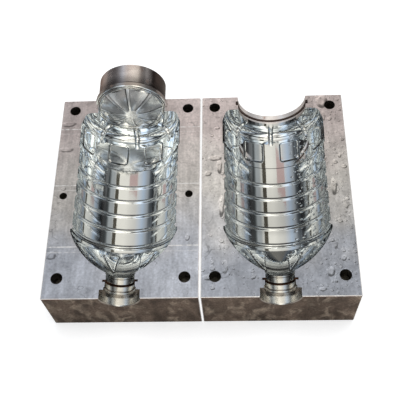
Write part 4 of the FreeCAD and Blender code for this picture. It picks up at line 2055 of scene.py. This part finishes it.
class Finishes:
    """Every finish of the mould, built once."""

    def __init__(self, axes: dict[Side, Axis], length: float) -> None:
        """Build the materials.

        Args:
            axes: The bottle axis of each half.
            length: The length of a half in metres.
        """
        fx = Effects()
        axis = axes[Side.LEFT]
        forms = {side: BottleForm(axes[side]) for side in Side}
        self.grind(fx, axis, length)
        self.polish(fx, axis, forms)
        self.turn_steel(fx, axis, forms[Side.RIGHT])
        self.flank = StainedSteel("stained flank", fx).build()
        # Painted shadow: near black in the joint behind the flange and in the face's fine grooves
        self.joint = PlainMetal("joint in painted shadow", fx, (0.05, 0.035, 0.03), (0.10, 0.06, 0.045), 0.6, 0.4).build()
        self.plug_hole = PlainMetal("plug holes", fx, (0.10, 0.09, 0.085), (0.06, 0.05, 0.045), 0.4).build()
        self.inner = PlainMetal("ground inner side", fx, (0.88, 0.88, 0.88), (0.82, 0.82, 0.82), 0.12).build()
        # Edge wear with a painted highlight: the chamfers near white
        self.edge = PlainMetal("worn edge with painted highlight", fx, (0.95, 0.93, 0.91), (0.80, 0.74, 0.70), 0.32, 0.3).build()
        # Painted shade: the drilled walls darkened as the inside of deep holes
        self.hole = PlainMetal("drilled wall in painted shade", fx, (0.13, 0.12, 0.10), (0.05, 0.045, 0.04), 0.35, 0.8).build()
        self.screw = PlainMetal("black oxide screw", fx, (0.045, 0.045, 0.05), (0.08, 0.07, 0.065),
                                0.35).build()
        self.dowel = PlainMetal("hard ground dowel", fx, (0.55, 0.55, 0.56), (0.42, 0.42, 0.43), 0.2).build()
        self.rubber = PlainMetal("seal rubber", fx, (0.02, 0.02, 0.02), (0.035, 0.035, 0.035), 0.6,
                                 0.0).build()
        self.brass = PlainMetal("brass stopper", fx, (0.66, 0.47, 0.2), (0.42, 0.28, 0.12), 0.3).build()

    def grind(self, fx: Effects, axis: Axis, length: float) -> None:
        """Build the ground parting faces, each with its own water.

        Args:
            fx: The shared effects.
            axis: The left half's bottle axis.
            length: The length of a half in metres.
        """
        common = {"effects": fx, "front": axis.front, "length": length}
        dried = ((-209, 110, 11, 5), (-209, 62, 11, 4), (-213, -118, 7, 6), (-206, -8, 4, 3),
                 (-18, -92, 3, 5))
        wet = ((189, 143, 8, 12), (22, 41, 9, 4.5), (28, 27, 4, 12.5), (31, -42, 3.7, 17),
               (199, 109, 3.1, 3.8), (209, 41, 3, 3.6), (214, 22, 3.7, 3.5), (196, -12, 4.4, 13.7),
               (25, 96, 3.9, 2.3), (11, 14, 4.5, 4.4), (181, -148, 5.5, 6.7), (168, -174, 5.4, 2.9),
               (201, -128, 3.4, 4.6), (17, -154, 12.5, 4.5))
        # The far, middle and near colours are a painted reflection of the sky
        self.left_face = GroundSteel(
            "ground face", far=(0.50, 0.435, 0.425), middle=(0.475, 0.45, 0.43), near=(0.40, 0.42, 0.475),
            seam_stations=MouldHalf.vent_stations, puddles=dried, **common).build()
        self.right_face = GroundSteel(
            "wet ground face", far=(0.525, 0.455, 0.445), middle=(0.56, 0.535, 0.51),
            near=(0.325, 0.345, 0.395), drops=0.5, drip_share=0.12, seed=70.0, puddles=wet,
            puddle_depth=0.75, **common).build()

    def polish(self, fx: Effects, axis: Axis, forms: dict[Side, BottleForm]) -> None:
        """Build the polished cavities and petals.

        Args:
            fx: The shared effects.
            axis: The left half's bottle axis.
            forms: The bottle's form in each half.
        """
        # The left cavity's base band is brightened by painted light
        self.mirror = MirrorSteel("polished cavity", fx, wall_wave=0.17, form=forms[Side.LEFT],
                                  band_painted_light=1.18).build()
        # The wet cavity's floor is darkened by painted shade
        self.wet_mirror = MirrorSteel("wet polished cavity", fx, wall_wave=0.3, form=forms[Side.RIGHT],
                                      drops=0.85, drops_from=125.0, floor_painted_shade=0.22).build()
        self.petal = MirrorSteel("polished petals", fx, tint=(0.95, 0.955, 0.94), roughness=0.18, wave=0.06,
                                 wall_wave=0.06, petal_axis=axis, metallic=0.62).build()

    def turn_steel(self, fx: Effects, axis: Axis, form: BottleForm) -> None:
        """Build the turned seats, rims and body.

        Args:
            fx: The shared effects.
            axis: The left half's bottle axis.
            form: The bottle's form.
        """
        self.neck = TurnedSteel(
            "turned neck seat", fx, (0.93, 0.93, 0.90), (0.66, 0.65, 0.62), (0.18, 0.09, 0.05), 0.24, 0.2,
            1.0, lines=self.neck_shade_lines(form), shade_line_colour=(0.36, 0.33, 0.30)).build()
        self.slot = TurnedSteel(
            "rusty ring slot", fx, (0.06, 0.04, 0.03), (0.035, 0.025, 0.02), (0.16, 0.07, 0.035), 0.5, 0.3,
            0.5).build()
        self.seat = TurnedSteel(
            "turned plug seat", fx, (0.98, 0.94, 0.92), (0.84, 0.78, 0.75), (0.34, 0.2, 0.14), 0.34, 0.2, 0.5,
            lines=self.groove_shade_lines(form)).build()
        self.rim = TurnedSteel(
            "turned rim", fx, (0.93, 0.93, 0.91), (0.80, 0.79, 0.76), (0.30, 0.18, 0.11), 0.2, 0.12).build()
        self.land = TurnedSteel(
            "turned flange land", fx, (0.52, 0.48, 0.46), (0.40, 0.36, 0.34), (0.18, 0.09, 0.05), 0.34,
            0.2).build()
        # Painted reflection streaks and painted shade across the plug body, rusty at its left edge
        bands = (
            (-53, (0.30, 0.15, 0.09)), (-47, (0.42, 0.28, 0.22)), (-41, (0.85, 0.80, 0.78)),
            (-30, (0.95, 0.95, 0.95)), (-21, (0.62, 0.60, 0.60)), (-14, (0.6, 0.58, 0.58)),
            (-8, (0.9, 0.9, 0.9)), (6, (1.0, 1.0, 1.0)), (15, (0.8, 0.8, 0.8)), (21, (0.42, 0.40, 0.40)),
            (25, (0.5, 0.5, 0.5)), (28, (1.0, 1.0, 1.0)), (32, (0.8, 0.8, 0.8)),
            (37, (0.17, 0.145, 0.135)), (53, (0.08, 0.065, 0.06)))
        self.plug_body = TurnedSteel(
            "turned plug body", fx, (1.0, 0.93, 0.91), (0.78, 0.69, 0.67), (0.20, 0.095, 0.05), 0.36, 0.25,
            axis_x=axis.x / MM, bands=bands, painted_shade_until=170.0).build()

    @staticmethod
    def neck_shade_lines(form: BottleForm) -> tuple[float, ...]:
        """Where the painted shade lines in the corners of the neck's steps run, in millimetres along the row.
        """
        front = form.axis.front / MM
        return front + form.seat_length + 0.6, front + form.pilot + 0.5, front + form.lip + 0.4

    @staticmethod
    def groove_shade_lines(form: BottleForm) -> tuple[float, ...]:
        """Where the painted shade lines in the corners of the plug's groove run, in millimetres along the
        row.
        """
        front = form.axis.front / MM
        return front + form.flange + 0.8, front + form.flange_end - 0.6

    def half(self, side: Side) -> list[Material]:
        """The materials of a half.

        Args:
            side: The half's side.

        Returns:
            The materials, in the order of its zones.
        """
        left = side is Side.LEFT
        face, mirror = (self.left_face, self.mirror) if left else (self.right_face, self.wet_mirror)
        return [face, mirror, self.neck, self.flank, self.edge, self.hole, self.left_face, self.seat,
                self.inner, self.slot]


def dress(node: str, material: Material) -> None:
    """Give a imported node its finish.

    Args:
        node: The node's name.
        material: Its finish.
    """
    data = frame["nodes"][node].data
    data.materials.clear()
    data.materials.append(material)
    log.info("%s: dressed", node)


def main() -> None:
    """Build every piece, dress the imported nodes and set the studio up."""
    boxes = {side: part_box(side.name.lower() + "_half") for side in Side}
    axes = {side: Axis((low.x + high.x) / 2, low.y, high.z) for side, (low, high) in boxes.items()}
    low, high = boxes[Side.LEFT]
    finishes = Finishes(axes, high.y - low.y)
    for side, (low, high) in boxes.items():
        MouldHalf(side, side.name.lower() + "_half", axes[side], finishes.half(side), low, high).build()
    face_finishes = [finishes.petal, finishes.rim, finishes.joint, finishes.land]
    plug = BasePlug(axes[Side.LEFT], BottleForm(axes[Side.LEFT]), face_finishes,
                    [finishes.plug_body, finishes.plug_hole])
    plug.face()
    plug.body()
    dress("base_screws", finishes.screw)
    dress("base_dowels", finishes.dowel)
    dress("base_seal", finishes.rubber)
    dress("left_channel_stopper", finishes.brass)
    dress("right_channel_stopper", finishes.brass)
    Studio(centre=Vector((0, 0, 0.08))).build()


if __name__ == "__main__":
    main()
